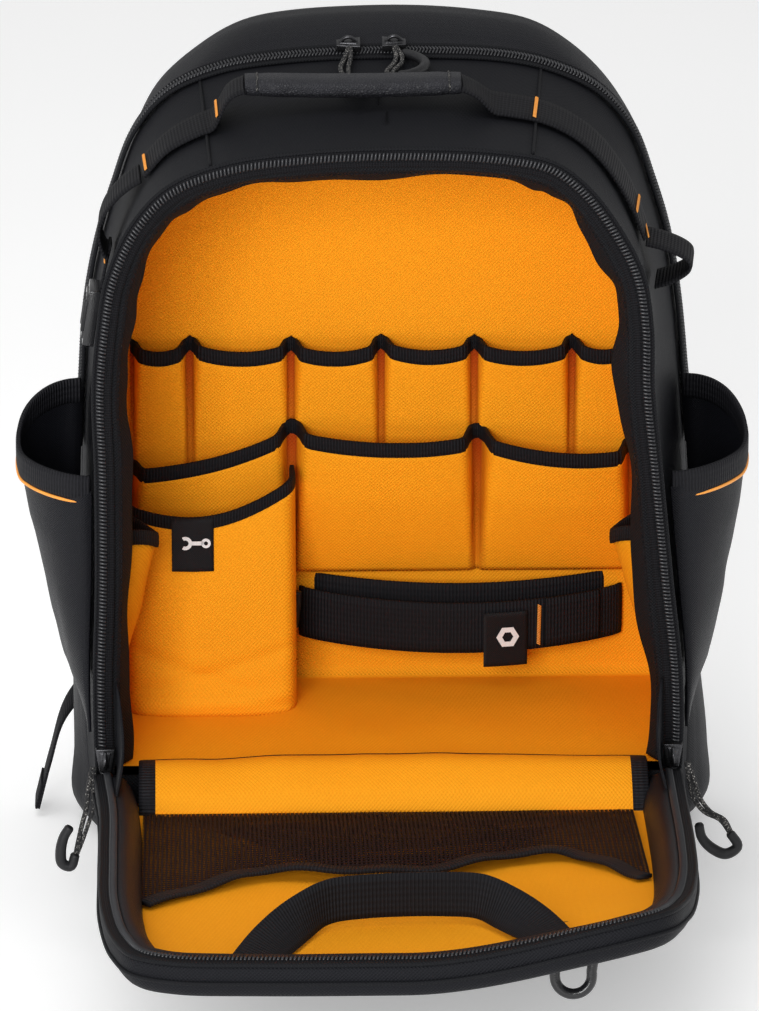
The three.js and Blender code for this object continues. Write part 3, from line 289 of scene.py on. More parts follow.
def bead(name, spine, diameter, finish, stands_for=(), sides=10, swell=None):
    spine = np.asarray(spine, float)
    along = unit(np.gradient(spine, axis=0))
    side = np.cross(along[0], (0.31, 0.17, 0.93))
    turned = [unit(side)]
    for step in along[1:]:
        turned.append(unit(turned[-1] - np.dot(turned[-1], step) * step))
    points, faces, uvs = swept(spine, np.array(turned), diameter, diameter, sides, 2.0, swell)
    return make_piece(name, points, faces, finish, stands_for, uvs)


braid = Finish("braided_cord", Roughness=0.85)
turns = braid.part(braid.place("UV"), "X"), braid.part(braid.place("UV"), "Y")
lay = braid.wave(turns[0] + turns[1], 0.0021) * braid.wave(turns[0] - turns[1], 0.0021)
speck = braid.node("ShaderNodeTexNoise", {}, {"Vector": braid.place(), "Scale": 700.0}, 0) > 0.54
braid.colour(braid.blend(speck * lay, (0.010, 0.010, 0.011, 1), (0.42, 0.40, 0.37, 1)))
braid.relief(lay, 0.0004)

moulded = Finish("moulded_plastic", Roughness=0.42, Specular_IOR_Level=0.3)
moulded.colour(moulded.blend(moulded.cloud(160), (0.008, 0.008, 0.009, 1), (0.015, 0.015, 0.017, 1)))
moulded.relief(moulded.cloud(1500, 2), 0.0002)

CORD_DIAMETER = 3
END_DIAMETER = 6.4
PULLS = {
    "front_left": {
        "cord": [
            (-179, -126, 116), (-181.5, -127, 103), (-183, -128, 90), (-186, -128, 78), (-189.8, -128, 60.5)
        ],
        "end": [
            (-193, -128, 78),
            (-197, -128, 71),
            (-199, -128, 61),
            (-198, -128, 54),
            (-193, -128, 52),
            (-190, -128, 60.1),
        ],
    },
    "front_right": {
        "cord": [
            (183, -126, 116),
            (185, -127, 104),
            (187, -128, 94),
            (194, -128, 84),
            (204, -128, 78.5),
            (209.8, -128, 70.4),
        ],
        "end": [
            (191, -128, 76),
            (193, -128, 67),
            (199, -128, 60),
            (208, -128, 56),
            (215, -128, 61),
            (210, -128, 70),
        ],
    },
    "rear_left": {
        "cord": [(-19, 34.3, 523.6), (-21, 27, 520.4), (-24, 16, 517.4), (-24, 5, 516.3), (-21, -8.6, 516.6)],
        "end": [
            (-21, -9, 516.6),
            (-21, -16, 516),
            (-17, -22, 515.4),
            (-10, -22.5, 515.4),
            (-7, -16, 515.8),
            (-8, -8, 516.6),
        ],
    },
    "rear_right": {
        "cord": [
            (9, 34.3, 524), (10, 26, 520.8), (8, 16, 518.2), (4, 6, 517), (4.5, -3, 517), (9.6, -5.6, 517)
        ],
        "end": [
            (14, 32, 521), (22, 26, 520.2), (27, 16, 519), (25, 4, 518), (17, -4, 517.2), (10.5, -5.5, 517)
        ],
    },
}
for name, pull in PULLS.items():
    line = smooth_line(pull["cord"], 22)
    cord = bead(f"{name}_pull_cord", line, CORD_DIAMETER, braid, [f"{name}_cord"])
    curve = smooth_line(pull["end"], 40)
    thick = 1 - 0.16 * np.cos(np.linspace(0, 2 * math.pi, 40)) * 0.5
    thick[0] = thick[-1] = 0.72
    end = bead(
        f"{name}_moulded_end", curve, END_DIAMETER, moulded, [f"{name}_pull_end"], 14, thick
    )
    apart = (3.0, 0, 0) if name.startswith("front") else (3.6, 0, 0.4)
    beside = line + np.array(apart) * (0.35 + np.sin(np.linspace(0, math.pi, 22)))[:, None]
    twin = bead(f"{name}_pull_cord_twin", beside, CORD_DIAMETER * 0.9, braid, [f"{name}_cord"])
    for strand, route in ((cord, line), (twin, beside)):
        tuple(line[0] * 0.001)
        [tuple(point * 0.001) for point in route]


# The main shell: one long strip of black polyester cloth sewn round into an arch, with its
# base. It is cut with a little fullness, so that its sides dish in and ripple.
def boxed(name, grids, finish, stands_for=()):
    """One or more grids of points become one mesh; a grid that closes repeats its first line."""
    points, faces = [], []
    for grid in grids:
        start = len(points)
        rows, count = grid.shape[:2]
        points += grid.reshape(-1, 3).tolist()
        for i in range(rows - 1):
            for j in range(count - 1):
                a = start + i * count + j
                faces.append((a, a + 1, a + count + 1, a + count))
    piece = make_piece(name, points, faces, finish, stands_for)
    tidy_shell(piece)
    return piece


def tidy_shell(piece):
    """Merges shared points and turns all faces outwards."""
    bpy.ops.object.select_all(action="DESELECT")
    piece.select_set(True)
    bpy.context.view_layer.objects.active = piece
    bpy.ops.object.mode_set(mode="EDIT")
    bpy.ops.mesh.select_all(action="SELECT")
    bpy.ops.mesh.remove_doubles(threshold=0.00002)
    bpy.ops.mesh.normals_make_consistent(inside=False)
    bpy.ops.object.mode_set(mode="OBJECT")
    piece.select_set(False)


RIM_Y, SEAM_Y, BACK_Y = -118, 42, 118
MAIN_DEPTH = 160
RIM_HALF, RIM_TOP = 178, 503
SEAM_HALF, SEAM_TOP = 188, 517
BACK_HALF, BACK_TOP = 200, 535
SHELL_WALL = 2.5
OUTLINES = [
    (0, 0.9, 0.9, 0.88, 0.915, 0.86, 0.94),
    (0.03, 0.945, 0.945, 0.957, 1.02, 0.975, 1.06),
    (0.1, 0.965, 0.965, 0.98, 1.04, 0.975, 1.06),
    (0.217, 0.99, 1.01, 0.99, 1.04, 0.975, 1.025),
    (0.33, 0.995, 1.01, 0.995, 1.037, 0.97, 1.015),
    (0.457, 0.983, 0.972, 0.99, 1.027, 0.96, 1.005),
    (0.6, 0.98, 0.93, 0.973, 1, 0.935, 0.97),
    (0.7, 0.985, 0.9, 0.952, 0.973, 0.897, 0.92),
    (0.78, 0.966, 0.893, 0.91, 0.936, 0.835, 0.88),
    (0.845, 0.933, 0.86, 0.856, 0.883, 0.77, 0.825),
    (0.91, 0.848, 0.764, 0.787, 0.814, 0.683, 0.725),
    (0.955, 0.73, 0.663, 0.68, 0.707, 0.55, 0.605),
    (0.982, 0.545, 0.556, 0.52, 0.56, 0.42, 0.48),
    (0.995, 0.3, 0.37, 0.3, 0.4, 0.25, 0.295),
]


def outline(rows, left, right, half, top, closed):
    climb = [(-row[left] * half, 0, row[0] * top) for row in rows]
    fall = [(row[right] * half, 0, row[0] * top) for row in reversed(rows)]
    apex = ((rows[-1][right] - rows[-1][left]) / 2 * half, 0, top)
    route = Route([*climb, apex, *fall], closed)
    return np.array([route.at(i / 2400) for i in range(2400)] + [route.at(0 if closed else 1)])


rim = outline(OUTLINES, 1, 2, RIM_HALF, RIM_TOP, True)
seam = outline(OUTLINES, 3, 4, SEAM_HALF, SEAM_TOP, True)
back = outline(OUTLINES, 5, 6, BACK_HALF, BACK_TOP, True)


def read(table_of_points, t):
    places = np.linspace(0, 1, len(table_of_points))
    return np.stack([np.interp(t, places, table_of_points[:, k]) for k in range(3)], axis=-1)


def shell_at(t, depth):
    """The shell's outer surface at a distance behind the rim, for an array of places."""
    share = depth / MAIN_DEPTH
    points = read(rim, t) * (1 - share) + read(seam, t) * share
    points[..., 0] -= np.sign(points[..., 0]) * 3 * math.sin(math.pi * min(max(share, 0), 1))
    points[..., 1] = RIM_Y + depth
    points[..., 2] = np.maximum(points[..., 2], 0)
    return points


def back_at(t, y):
    points = read(back, t)
    points[..., 1] = y
    points[..., 2] = np.maximum(points[..., 2], 0)
    return points


APEX = len(OUTLINES) / (2 * len(OUTLINES) + 1)


def pass_at(z, side, depth=0):
    """Where the shell's outline passes a height, on its left or right side."""
    low, high = (0.0, APEX) if side < 0 else (2 * APEX, APEX)
    for _ in range(40):
        middle = (low + high) / 2
        if shell_at(middle, depth)[2] < z:
            low = middle
        else:
            high = middle
    return (low + high) / 2


def arch_places(foot, count=300):
    return np.linspace(pass_at(foot, -1), pass_at(foot, 1), count)


@functools.lru_cache(maxsize=None)
def side_profile(side, depth):
    points = shell_at(np.linspace(0 if side < 0 else 2 * APEX, APEX, 500), depth)
    return np.maximum.accumulate(points[:, 2]), points[:, 0]


def shell_x(side, depth, z):
    return float(np.interp(z, *side_profile(side, depth)))


def inset(points, distance, closed=False):
    """Moves an outline's points in XZ towards its inside."""
    points = np.asarray(points, float)
    if closed:
        run = np.roll(points, -1, axis=0) - np.roll(points, 1, axis=0)
    else:
        run = np.gradient(points, axis=0)
    run = unit(run[:, [0, 2]])
    moved = points.copy()
    moved[:, 0] += run[:, 1] * distance
    moved[:, 2] -= run[:, 0] * distance
    return moved


def ripple(points, size, amount, seed=0.0, stretch=(1, 1, 1)):
    """How deep the cloth's ripples are at each point, from none to the amount."""
    scaled = np.asarray(points) / size * np.array(stretch) + seed
    values = [noise.noise(Vector(point)) for point in scaled.reshape(-1, 3)]
    return (np.array(values).reshape(scaled.shape[:-1]) * 0.5 + 0.5) * amount


def black_cloth(name, light, dark, pitch, rough, sheen):
    """Woven black polyester: over and under threads, a little dust and shade."""
    cloth = Finish(name, Roughness=rough, Specular_IOR_Level=sheen)
    weft, warp = cloth.part(cloth.place("UV"), "X"), cloth.part(cloth.place("UV"), "Y")
    over = cloth.wave(weft, pitch) * cloth.wave(warp, pitch) + (
        1 - cloth.wave(weft, pitch)
    ) * (1 - cloth.wave(warp, pitch))
    shade = cloth.cloud(14, 4) * 0.7 + cloth.cloud(420, 2) * 0.3
    cloth.colour(cloth.blend(over * 0.55 + shade * 0.45, dark, light))
    cloth.feed("Roughness", shade * 0.16 + (rough - 0.08))
    cloth.relief(over + cloth.cloud(500, 2) * 0.6, 0.00035)
    return cloth


shell_cloth = black_cloth(
    "shell_cloth", (0.0115, 0.012, 0.0155, 1), (0.0030, 0.0032, 0.0042, 1), 0.0022, 0.62, 0.12
)
places = np.linspace(0, 1, 421)
depths = np.linspace(0, MAIN_DEPTH - 0.4, 34)
outer_rings, inner_rings = [], []
for depth in depths:
    ring = shell_at(places[:-1], depth)
    quiet = math.sin(math.pi * depth / MAIN_DEPTH)
    dents = ripple(ring, 62, 1.7 * quiet, 3.1, (1, 0.8, 0.55)) + ripple(ring, 21, 0.5 * quiet, 9.4)
    dents[ring[:, 2] < 3] = 0
    outer_rings.append(inset(ring, dents, True))
    inner_rings.append(inset(ring, SHELL_WALL + 0.2, True))
outer_rings = np.array([np.vstack([ring, ring[:1]]) for ring in outer_rings])
inner_rings = np.array([np.vstack([ring, ring[:1]]) for ring in inner_rings])
shell_skin = [
    outer_rings,
    inner_rings[::-1],
    np.array([inner_rings[0], outer_rings[0]]),
    np.array([outer_rings[-1], inner_rings[-1]]),
]
boxed("main_shell", shell_skin, shell_cloth, ["front_shell"])

# The base panel under the hinge: a stiffened piece of the same cloth that closes the front
# below the opening. Its face ripples a little.
panel_ring = inset(shell_at(places[:-1], 0), SHELL_WALL + 0.4, True)
panel_ring = panel_ring[(panel_ring[:, 2] < 107.2)]
order = np.argsort(np.arctan2(panel_ring[:, 2] - 50, panel_ring[:, 0]))
panel_ring = panel_ring[order]
panel_ring = np.vstack([panel_ring, panel_ring[:1]])
centre = np.array([0, 0, 54])
panel_rows = []
for share in np.linspace(1, 0.02, 16):
    ring = centre + (panel_ring - centre) * share
    ring[:, 1] = RIM_Y + 0.4 + 1.2 * share ** 6 - ripple(ring, 40, 1.0, 2.0) * (1 - share ** 8) + 0.9
    panel_rows.append(ring)
panel_back = [row.copy() for row in panel_rows]
for row in panel_back:
    row[:, 1] = RIM_Y + 2.9
boxed(
    "base_panel",
    [np.array(panel_rows), np.array(panel_back)[::-1], np.array([panel_back[0], panel_rows[0]])],
    shell_cloth,
    ["front_base_panel"],
)

# The rear compartment: black cloth swelling out behind the main shell to the back panel, its
# top higher and rounder. It is foam backed, so its surface is smooth.
def lofted(rows, count):
    """Rows of points become more rows, on smooth lines through each of their columns."""
    rows = np.asarray(rows, float)
    steps = np.linspace(0, 1, count)
    columns = [Route(rows[:, j]) for j in range(rows.shape[1])]
    return np.array([[column.at(min(step, 1)) for column in columns] for step in steps])


def ring_of(points):
    return np.vstack([points, points[:1]])


smooth_cloth = black_cloth(
    "smooth_cloth", (0.0125, 0.013, 0.0165, 1), (0.0045, 0.0047, 0.006, 1), 0.0018, 0.5, 0.16
)
swell_rings = [
    shell_at(places[:-1:2], MAIN_DEPTH) + (0, 0.4, 0),
    (
        shell_at(places[:-1:2], MAIN_DEPTH) * (1, 0, 1) * 0.35 + back_at(places[:-1:2], 0) * 0.65
    ) + (0, SEAM_Y + 15, 0),
    back_at(places[:-1:2], SEAM_Y + 34),
    back_at(places[:-1:2], BACK_Y - 30),
    inset(back_at(places[:-1:2], BACK_Y - 12), 2.5, True),
    inset(back_at(places[:-1:2], BACK_Y - 2.5), 12, True),
    inset(back_at(places[:-1:2], BACK_Y - 0.4), 20, True),
]
swell = lofted([ring_of(ring) for ring in swell_rings], 26)
for row in swell[3:-4]:
    row[:-1] = inset(row[:-1], ripple(row[:-1], 70, 1.4, 5.0), True)
    row[-1] = row[0]
centre = np.array([0, BACK_Y, 250])
cap = np.array([centre + (swell[-1] - centre) * share for share in (1, 0.8, 0.6, 0.4, 0.2, 0.01)])
inner_wall = np.array([ring_of(inset(row[:-1], 2.4, True)) for row in swell[:10]])
boxed(
    "rear_compartment",
    [swell, cap, inner_wall[::-1], np.array([inner_wall[0], swell[0]])],
    smooth_cloth,
    ["rear_shell"],
)

# The orange lining: one tray of bright woven polyester, sewn in behind the zip facing. Its back
# wall carries the pockets, and its floor runs forward to the hinge.
def orange_cloth(name, light, dark):
    """Bright plain-woven polyester. Its threads catch the light, and its pleats are painted deep red as
    shade.
    """
    cloth = Finish(name, Roughness=0.72, Specular_IOR_Level=0.12)
    weft, warp = cloth.part(cloth.place("UV"), "X"), cloth.part(cloth.place("UV"), "Y")
    over = cloth.wave(weft, 0.0024) * cloth.wave(warp, 0.0024)
    under = (1 - cloth.wave(weft, 0.0024)) * (1 - cloth.wave(warp, 0.0024))
    shade = cloth.cloud(9, 4) * 0.6 + cloth.cloud(330, 2) * 0.4
    pleat_shade = cloth.node("ShaderNodeAttribute", {"attribute_name": "pleat_shade"}, {}, "Fac")
    face = cloth.blend((over + under) * 0.45 + shade * 0.55, dark, light)
    # Painted shade: the colour blends to deep red as far as each point lies in a pleat.
    cloth.colour(cloth.blend(pleat_shade, face, (0.30, 0.022, 0.001, 1)))
    cloth.relief(over + under + shade * 0.5, 0.0004)
    return cloth


def walled(piece, thickness, offset):
    """Gives a one-sided cloth its wall, in millimetres, and applies it."""
    bpy.ops.object.select_all(action="DESELECT")
    piece.select_set(True)
    bpy.context.view_layer.objects.active = piece
    solid = piece.modifiers.new("wall", "SOLIDIFY")
    solid.thickness, solid.offset, solid.use_even_offset = thickness * 0.001, offset, False
    bpy.ops.object.modifier_apply(modifier=solid.name)
    piece.select_set(False)


def sheet_of(name, rows, finish, stands_for=(), thickness=1.4, offset=-1, folds=None):
    """An open grid of points becomes a sheet of cloth with a wall."""
    rows = np.asarray(rows, float)
    count = rows.shape[1]
    faces = [
        (i * count + j, i * count + j + 1, (i + 1) * count + j + 1, (i + 1) * count + j)
        for i in range(rows.shape[0] - 1)
        for j in range(count - 1)
    ]
    piece = make_piece(name, rows.reshape(-1, 3), faces, finish, stands_for, folds=folds)
    walled(piece, thickness, offset)
    return piece


HINGE_Z, FLOOR_Z = 108, 112
ZIP_WIDTH, FACING_WIDTH = 11, 10
LINING_START, LINING_SILL = 20, 3
LINING_INSET = 4.8
lining_cloth = orange_cloth("lining_cloth", (0.97, 0.405, 0.012, 1), (0.84, 0.270, 0.005, 1))
floor_places = arch_places(FLOOR_Z, 240)


def mouth_at(t):
    climb = (shell_at(t, LINING_START)[..., 2] - FLOOR_Z) / FACING_WIDTH
    depth = LINING_SILL + (LINING_START - LINING_SILL) * np.clip(climb, 0, 1)
    front, deep = shell_at(t, LINING_SILL), shell_at(t, LINING_START)
    share = ((depth - LINING_SILL) / (LINING_START - LINING_SILL))[:, None]
    return front * (1 - share) + deep * share


def tray_ring(points):
    """An arch closed along the floor with a row of points."""
    ring = inset(points, LINING_INSET)
    ring[:, 2] = np.maximum(ring[:, 2], FLOOR_Z)
    ring[0, 2] = ring[-1, 2] = FLOOR_Z
    share = np.linspace(0, 1, 61)[1:-1, None]
    return np.vstack([ring, ring[-1] * (1 - share) + ring[0] * share, ring[:1]])


tray = [tray_ring(mouth_at(floor_places))]
for depth in np.linspace(LINING_START + 6, 158.2, 22):
    ring = tray_ring(shell_at(floor_places, depth))
    soft = math.sin(math.pi * (depth - 20) / 138) ** 0.5 if depth < 158 else 0
    ring[:-1] = inset(ring[:-1], ripple(ring[:-1], 45, 2.2 * soft, 1.7) - 0.4, True)
    ring[:, 2] = np.maximum(ring[:, 2], FLOOR_Z)
    ring[-1] = ring[0]
    tray.append(ring)
middle = np.array([0, 40.2, 300])
wall_rings = [tray[-1]]
for share in np.linspace(1, 0.02, 26)[1:]:
    ring = middle + (tray[-1] - middle) * share
    ring[:, 1] = 40.2 + ripple(ring, 60, 1.4, 4.0)
    wall_rings.append(ring)
lining = boxed(
    "orange_lining_tray",
    [np.array(tray), np.array(wall_rings)],
    lining_cloth,
    ["compartment_lining"],
)

# The zip facing: a wide black tape inside the mouth, whose free inner edge waves. A second row
# of stitching holds it behind the zip, and the zip's coil stands on the outer edge.
facing_cloth = black_cloth(
    "facing_cloth", (0.0105, 0.011, 0.0135, 1), (0.0032, 0.0034, 0.0042, 1), 0.0020, 0.6, 0.12
)
facing_places = arch_places(FLOOR_Z + 0.4, 520)
edge = shell_at(facing_places, 0)
share = np.linspace(0, 1, 520)
wave = 2.0 * np.sin(share * 18 * math.pi) + 1.0 * np.sin(share * 61 + 2) + 0.6 * np.sin(share * 143)
facing_rows = []
for step, depth in (
    (0, 0.4),
    (0.3, 0.2),
    (0.42, 0.9),
    (0.5, 1.4),
    (0.58, 1.1),
    (0.72, 4.5),
    (0.86, 8.5),
    (0.97, 12.2),
    (1, 13),
):
    outwards = 2.9 + (ZIP_WIDTH + FACING_WIDTH - 2.9) * step + wave * max(step - 0.5, 0) * 2
    row = inset(edge, outwards)
    row[:, 1] = RIM_Y + depth + 0.5 * np.sin(share * 90 + step * 4) * step
    facing_rows.append(row)
sheet_of("mouth_facing", facing_rows, facing_cloth, ["zip_facing"], 1.5, 1)

# The front zip: one half of a heavy coil zip on its woven tape, sewn along the rim. The coil is
# a row of small shiny nylon loops, each one a few faces.
def loops_along(name, spine, across, out, pitch, size, finish, stands_for=(), lean=0.0):
    """Small rounded blocks in a row on a line: size is along, across and out from it."""
    spine = np.asarray(spine, float)
    run = np.concatenate([[0], np.cumsum(np.linalg.norm(np.diff(spine, axis=0), axis=1))])
    count = int(run[-1] / pitch)
    places = (np.arange(count) + 0.5) * pitch

    def pick(values):
        return np.stack([np.interp(places, run, np.asarray(values, float)[:, k]) for k in range(3)], axis=1)

    centre, sideways, outwards = pick(spine), unit(pick(across)), unit(pick(out))
    forward = unit(np.cross(sideways, outwards))
    sideways = unit(sideways + forward * lean)
    section = [(0.5, 0), (0.42, 0.6), (0, 1.0), (-0.42, 0.6), (-0.5, 0)]
    along, wide, high = size
    ends = ((-0.5, 0.55), (-0.34, 1.0), (0.34, 1.0), (0.5, 0.55))
    points = []
    for place, full in ends:
        for a, h in section:
            points.append(
                centre + forward * (a * along) + sideways * (place * wide) + outwards * (h * high * full)
            )
    points = np.stack(points, axis=1).reshape(-1, 3)
    block = [(r * 5 + k, r * 5 + k + 1, r * 5 + k + 6, r * 5 + k + 5) for r in range(3) for k in range(4)]
    block += [(0, 5, 9, 4), (5, 10, 14, 9), (10, 15, 19, 14)]
    block += [(4, 3, 2, 1, 0), (15, 16, 17, 18, 19)]
    faces = [tuple(20 * i + k for k in face) for i in range(count) for face in block]
    return make_piece(name, points, faces, finish, stands_for)


coil_nylon = Finish("coil_nylon", Roughness=0.3, Specular_IOR_Level=0.5)
coil_nylon.colour(coil_nylon.blend(coil_nylon.cloud(700), (0.008, 0.008, 0.010, 1), (0.030, 0.031, 0.035, 1)))
zip_tape = Finish("zip_tape", Roughness=0.7, Specular_IOR_Level=0.12)
run, girth = zip_tape.part(zip_tape.place("UV"), "X"), zip_tape.part(zip_tape.place("UV"), "Y")
ribs = zip_tape.wave(run, 0.0016) * 0.6 + zip_tape.wave(girth, 0.0012) * 0.4
zip_tape.colour(zip_tape.blend(ribs, (0.0025, 0.0025, 0.0032, 1), (0.0095, 0.0095, 0.0118, 1)))
zip_tape.relief(ribs, 0.0003)


def forward_of(points):
    return np.tile([0.0, -1.0, 0.0], (len(points), 1))


def sideways_of(points):
    """The direction across a line that lies in XZ."""
    run = unit(np.gradient(points, axis=0))
    return np.cross(run, (0, -1, 0))


zip_edge = shell_at(arch_places(HINGE_Z + 0.4, 420), 0)
tape_line = inset(zip_edge, ZIP_WIDTH / 2 + 0.4) + (0, -1.6, 0)
band(
    "front_zip_tape",
    tape_line,
    sideways_of(tape_line),
    ZIP_WIDTH - 1,
    1.3,
    zip_tape,
    "zip_coil",
    ["front_zip"],
    power=6,
)
coil_line = inset(zip_edge, 4.2) + (0, -2.2, 0)
loops_along(
    "front_zip_loops",
    coil_line,
    sideways_of(coil_line),
    forward_of(coil_line),
    2.3,
    (1.7, 4.6, 1.9),
    coil_nylon,
    lean=0.18,
)
rim_roll = inset(zip_edge, 0.2) + (0, -0.6, 0)
bead("rim_roll", rim_roll, 2.6, facing_cloth, ["front_zip"])
for name, edge_inset in (("outer_tape_stitch", 7.6), ("facing_stitch", 15.2)):
    line = inset(shell_at(arch_places(HINGE_Z + 6, 420), 0), edge_inset)
    line[:, 1] = RIM_Y - (2.3 if edge_inset < 10 else -0.9)
    loops_along(name, line, sideways_of(line), forward_of(line), 3.4, (2.3, 0.7, 0.45), zip_tape)

# The rear compartment's zip: two interlocked rows of large nylon coil over the top of the bag,
# between two strips of tape, closed.
def rear_zip_line(t, place):
    """A line on the zip's slope: place runs from -1 at its front edge to 1 at its rear edge."""
    if place <= 0:
        points = shell_at(t, MAIN_DEPTH + 6.5 * place)
    else:
        share = 6.5 / 34 * place
        points = shell_at(t, MAIN_DEPTH) * (1 - share) + back_at(t, SEAM_Y) * share
        points[:, 1] = SEAM_Y + 6.5 * place
    return inset(points, -1.2)


zip_places = arch_places(262, 460)
slope = [rear_zip_line(zip_places, place) for place in (-1, 0, 1)]
zip_across = unit(slope[2] - slope[0])
zip_out = unit(np.cross(np.gradient(slope[1], axis=0), zip_across))
zip_out *= np.sign(np.sum(zip_out * (slope[1] - (0, 42, 250)), axis=1))[:, None]
band(
    "rear_zip_tape",
    slope[1] + zip_out * 1.0,
    zip_across,
    14.5,
    1.6,
    zip_tape,
    "zip_coil",
    ["rear_zip"],
    power=6,
)
for name, offset, lean in (("rear_zip_front_row", -1.9, 0.45), ("rear_zip_rear_row", 1.9, -0.45)):
    line = slope[1] + zip_across * offset + zip_out * 1.6
    loops_along(name, line, zip_across, zip_out, 2.1, (1.6, 3.7, 2.0), coil_nylon, lean=lean)
for name, offset in (("rear_zip_front_roll", -6.6), ("rear_zip_rear_roll", 7.0)):
    bead(name, slope[1] + zip_across * offset + zip_out * 1.3, 2.6, facing_cloth)

# The pockets on the back wall: an upper row of six tool pockets and a wider row below them, of
# the lining's cloth, bound with black ribbed tape. Each seam is a deep pleat back to the wall.
def ribbed_tape(name, light, dark, pitch, rough=0.7):
    """Woven tape or webbing with fine ribs across its length and a firm selvedge."""
    tape = Finish(name, Roughness=rough, Specular_IOR_Level=0.14)
    run, girth = tape.part(tape.place("UV"), "X"), tape.part(tape.place("UV"), "Y")
    rib = tape.wave(run + 0.0003 * tape.cloud(60, 1), pitch)
    rows = tape.wave(girth, pitch * 1.7)
    fuzz = tape.cloud(500, 2)
    tape.colour(tape.blend(rib * 0.6 + rows * 0.12 + fuzz * 0.28, dark, light))
    tape.relief(rib + rows * 0.3 + fuzz * 0.25, 0.0005)
    return tape


binding_tape = ribbed_tape("binding_tape", (0.0130, 0.0130, 0.0160, 1), (0.0022, 0.0022, 0.0028, 1), 0.0019)
dark_thread = Finish("dark_thread", Roughness=0.6)
dark_thread.colour(dark_thread.blend(dark_thread.cloud(900), (0.20, 0.04, 0.004, 1), (0.42, 0.10, 0.010, 1)))
WALL_FACE = 39.8
UPPER_ROWS = [
    (-155, 330, 13),
    (-118, 331, 15),
    (-55, 330, 16),
    (1, 331, 14),
    (59, 330, 16),
    (120, 330, 12),
    (157, 329, 0),
]
MIDDLE_ROWS = [(-157, 252, 20), (-55, 278, 26), (61, 274, 26), (158, 264, 0)]
EDGE_SAG = 7


def smoothly(value):
    value = np.clip(value, 0, 1)
    return value * value * (3 - 2 * value)


def pocket_row(rows, foot, lift, up, pleat, full, steps=34):
    """The line of a row of pockets at a share of its height, from its foot to its bound edge."""
    line = []
    for i, ((seam_x, edge, proud), (next_x, next_edge, _)) in enumerate(zip(rows, rows[1:])):
        last = i == len(rows) - 2
        for k in range(steps + last):
            place = (1 - math.cos(math.pi * k / steps)) / 2
            x = seam_x + (next_x - seam_x) * place
            near = min(x - seam_x, next_x - x)
            sag = math.sin(math.pi * place)
            top = edge + (next_edge - edge) * place - EDGE_SAG * sag ** 0.6
            width = pleat * (0.35 + 0.65 * up)
            stand = smoothly((near - width * 0.5) / (width * 0.9)) * (0.86 + 0.14 * sag)
            out = proud * (0.1 + 0.9 * full(up)) * stand + lift * min(1, up * 1.6)
            z = foot + (top - foot) * up
            line.append((x, WALL_FACE - out - 0.3, z))
    return np.array(line)


def bound(name, line, width, thick, finish=binding_tape, stands_for=(), rise=0.0, slot="binding"):
    """A folded tape along the top edge of a piece of cloth."""
    line = evenly(np.asarray(line), max(24, int(len(line) * 1.2)))
    upward = np.tile([0.0, 0.0, 1.0], (len(line), 1))
    return band(
        name, line + (0, 0, rise), upward, width, thick, finish, slot, stands_for, section=14, power=5
    )


for name, rows, foot, lift, pleat, full in (
    ("upper_pocket_row", UPPER_ROWS, 228, 0, 5.0, lambda up: up ** 1.5),
    ("middle_pocket_row", MIDDLE_ROWS, 184, 6, 7.0, lambda up: up ** 0.8),
):
    grid = np.array([pocket_row(rows, foot, lift, up, pleat, full) for up in np.linspace(0, 1, 26)])
    soft = ripple(grid, 38, 2.6, 2.2, (1.3, 1, 0.5)) + ripple(grid, 13, 0.5, 7.0)
    grid[..., 1] += soft * np.linspace(0.2, 0.7, 26)[:, None] ** 1.0
    grid[..., 1] = np.minimum(grid[..., 1], WALL_FACE - 0.2)
    node = name.replace("_pocket_row", "_pockets")
    seams = np.array([row[0] for row in rows])
    near = np.abs(grid[..., 0][..., None] - seams).min(axis=-1)
    # Painted shade: how far each point lies in a pleat, more so towards the bound edge, for the cloth to
    # darken to deep red there.
    pleat_shade_depth = (1 - smoothly((near - pleat * 0.62) / 1.6)) * np.linspace(0.35, 0.95, 26)[:, None]
    panel = sheet_of(name, grid[:, ::-1], lining_cloth, [node], 1.4, -1, pleat_shade_depth[:, ::-1])
    width = (rows[-1][0] - rows[0][0]) * 0.001
    width * 1.34
    (rows[0][1] - foot) * 0.001
    bound(f"{name}_tape", grid[-1] + (0, -0.5, 0), 9.6, 3.2, stands_for=[f"{node}_binding"], rise=3.6)
    for i, (x, edge, _) in enumerate(rows[1:-1]):
        spine = np.array([(x, WALL_FACE - 0.5, z) for z in np.linspace(foot, edge - 6, 20)])
        loops_along(
            f"{name}_seam_{i}",
            spine,
            np.tile([1.0, 0, 0], (20, 1)),
            forward_of(spine),
            3.0,
            (2.2, 0.8, 0.5),
            dark_thread,
        )

# The box pocket at the lower left stands away from the wall on a gusset. Its front panel sags
# under its bound edge and folds at the floor, and a cloth tag hangs from its binding.
BOX_LEFT, BOX_RIGHT, BOX_TOP = -158, -55, 238


def box_line(front, z, sag, corner=12.0, count=110):
    y, rear = RIM_Y + front, RIM_Y + 140
    plan = [
        (BOX_LEFT, rear),
        (BOX_LEFT, y + corner),
        (BOX_LEFT + corner * 0.3, y + corner * 0.3),
        (BOX_LEFT + corner, y),
    ]
    plan += [(BOX_LEFT + 36, y - 3), (BOX_RIGHT - 36, y - 3)]
    plan += [
        (BOX_RIGHT - corner, y),
        (BOX_RIGHT - corner * 0.3, y + corner * 0.3),
        (BOX_RIGHT, y + corner),
        (BOX_RIGHT, rear),
    ]
    line = smooth_line([(x, place, z) for x, place in plan], count)
    share = (line[:, 0] - BOX_LEFT) / (BOX_RIGHT - BOX_LEFT)
    line[:, 2] += sag * share - sag * np.sin(share * math.pi) - 3.0 * (1 - share) * (sag > 0)
    return line


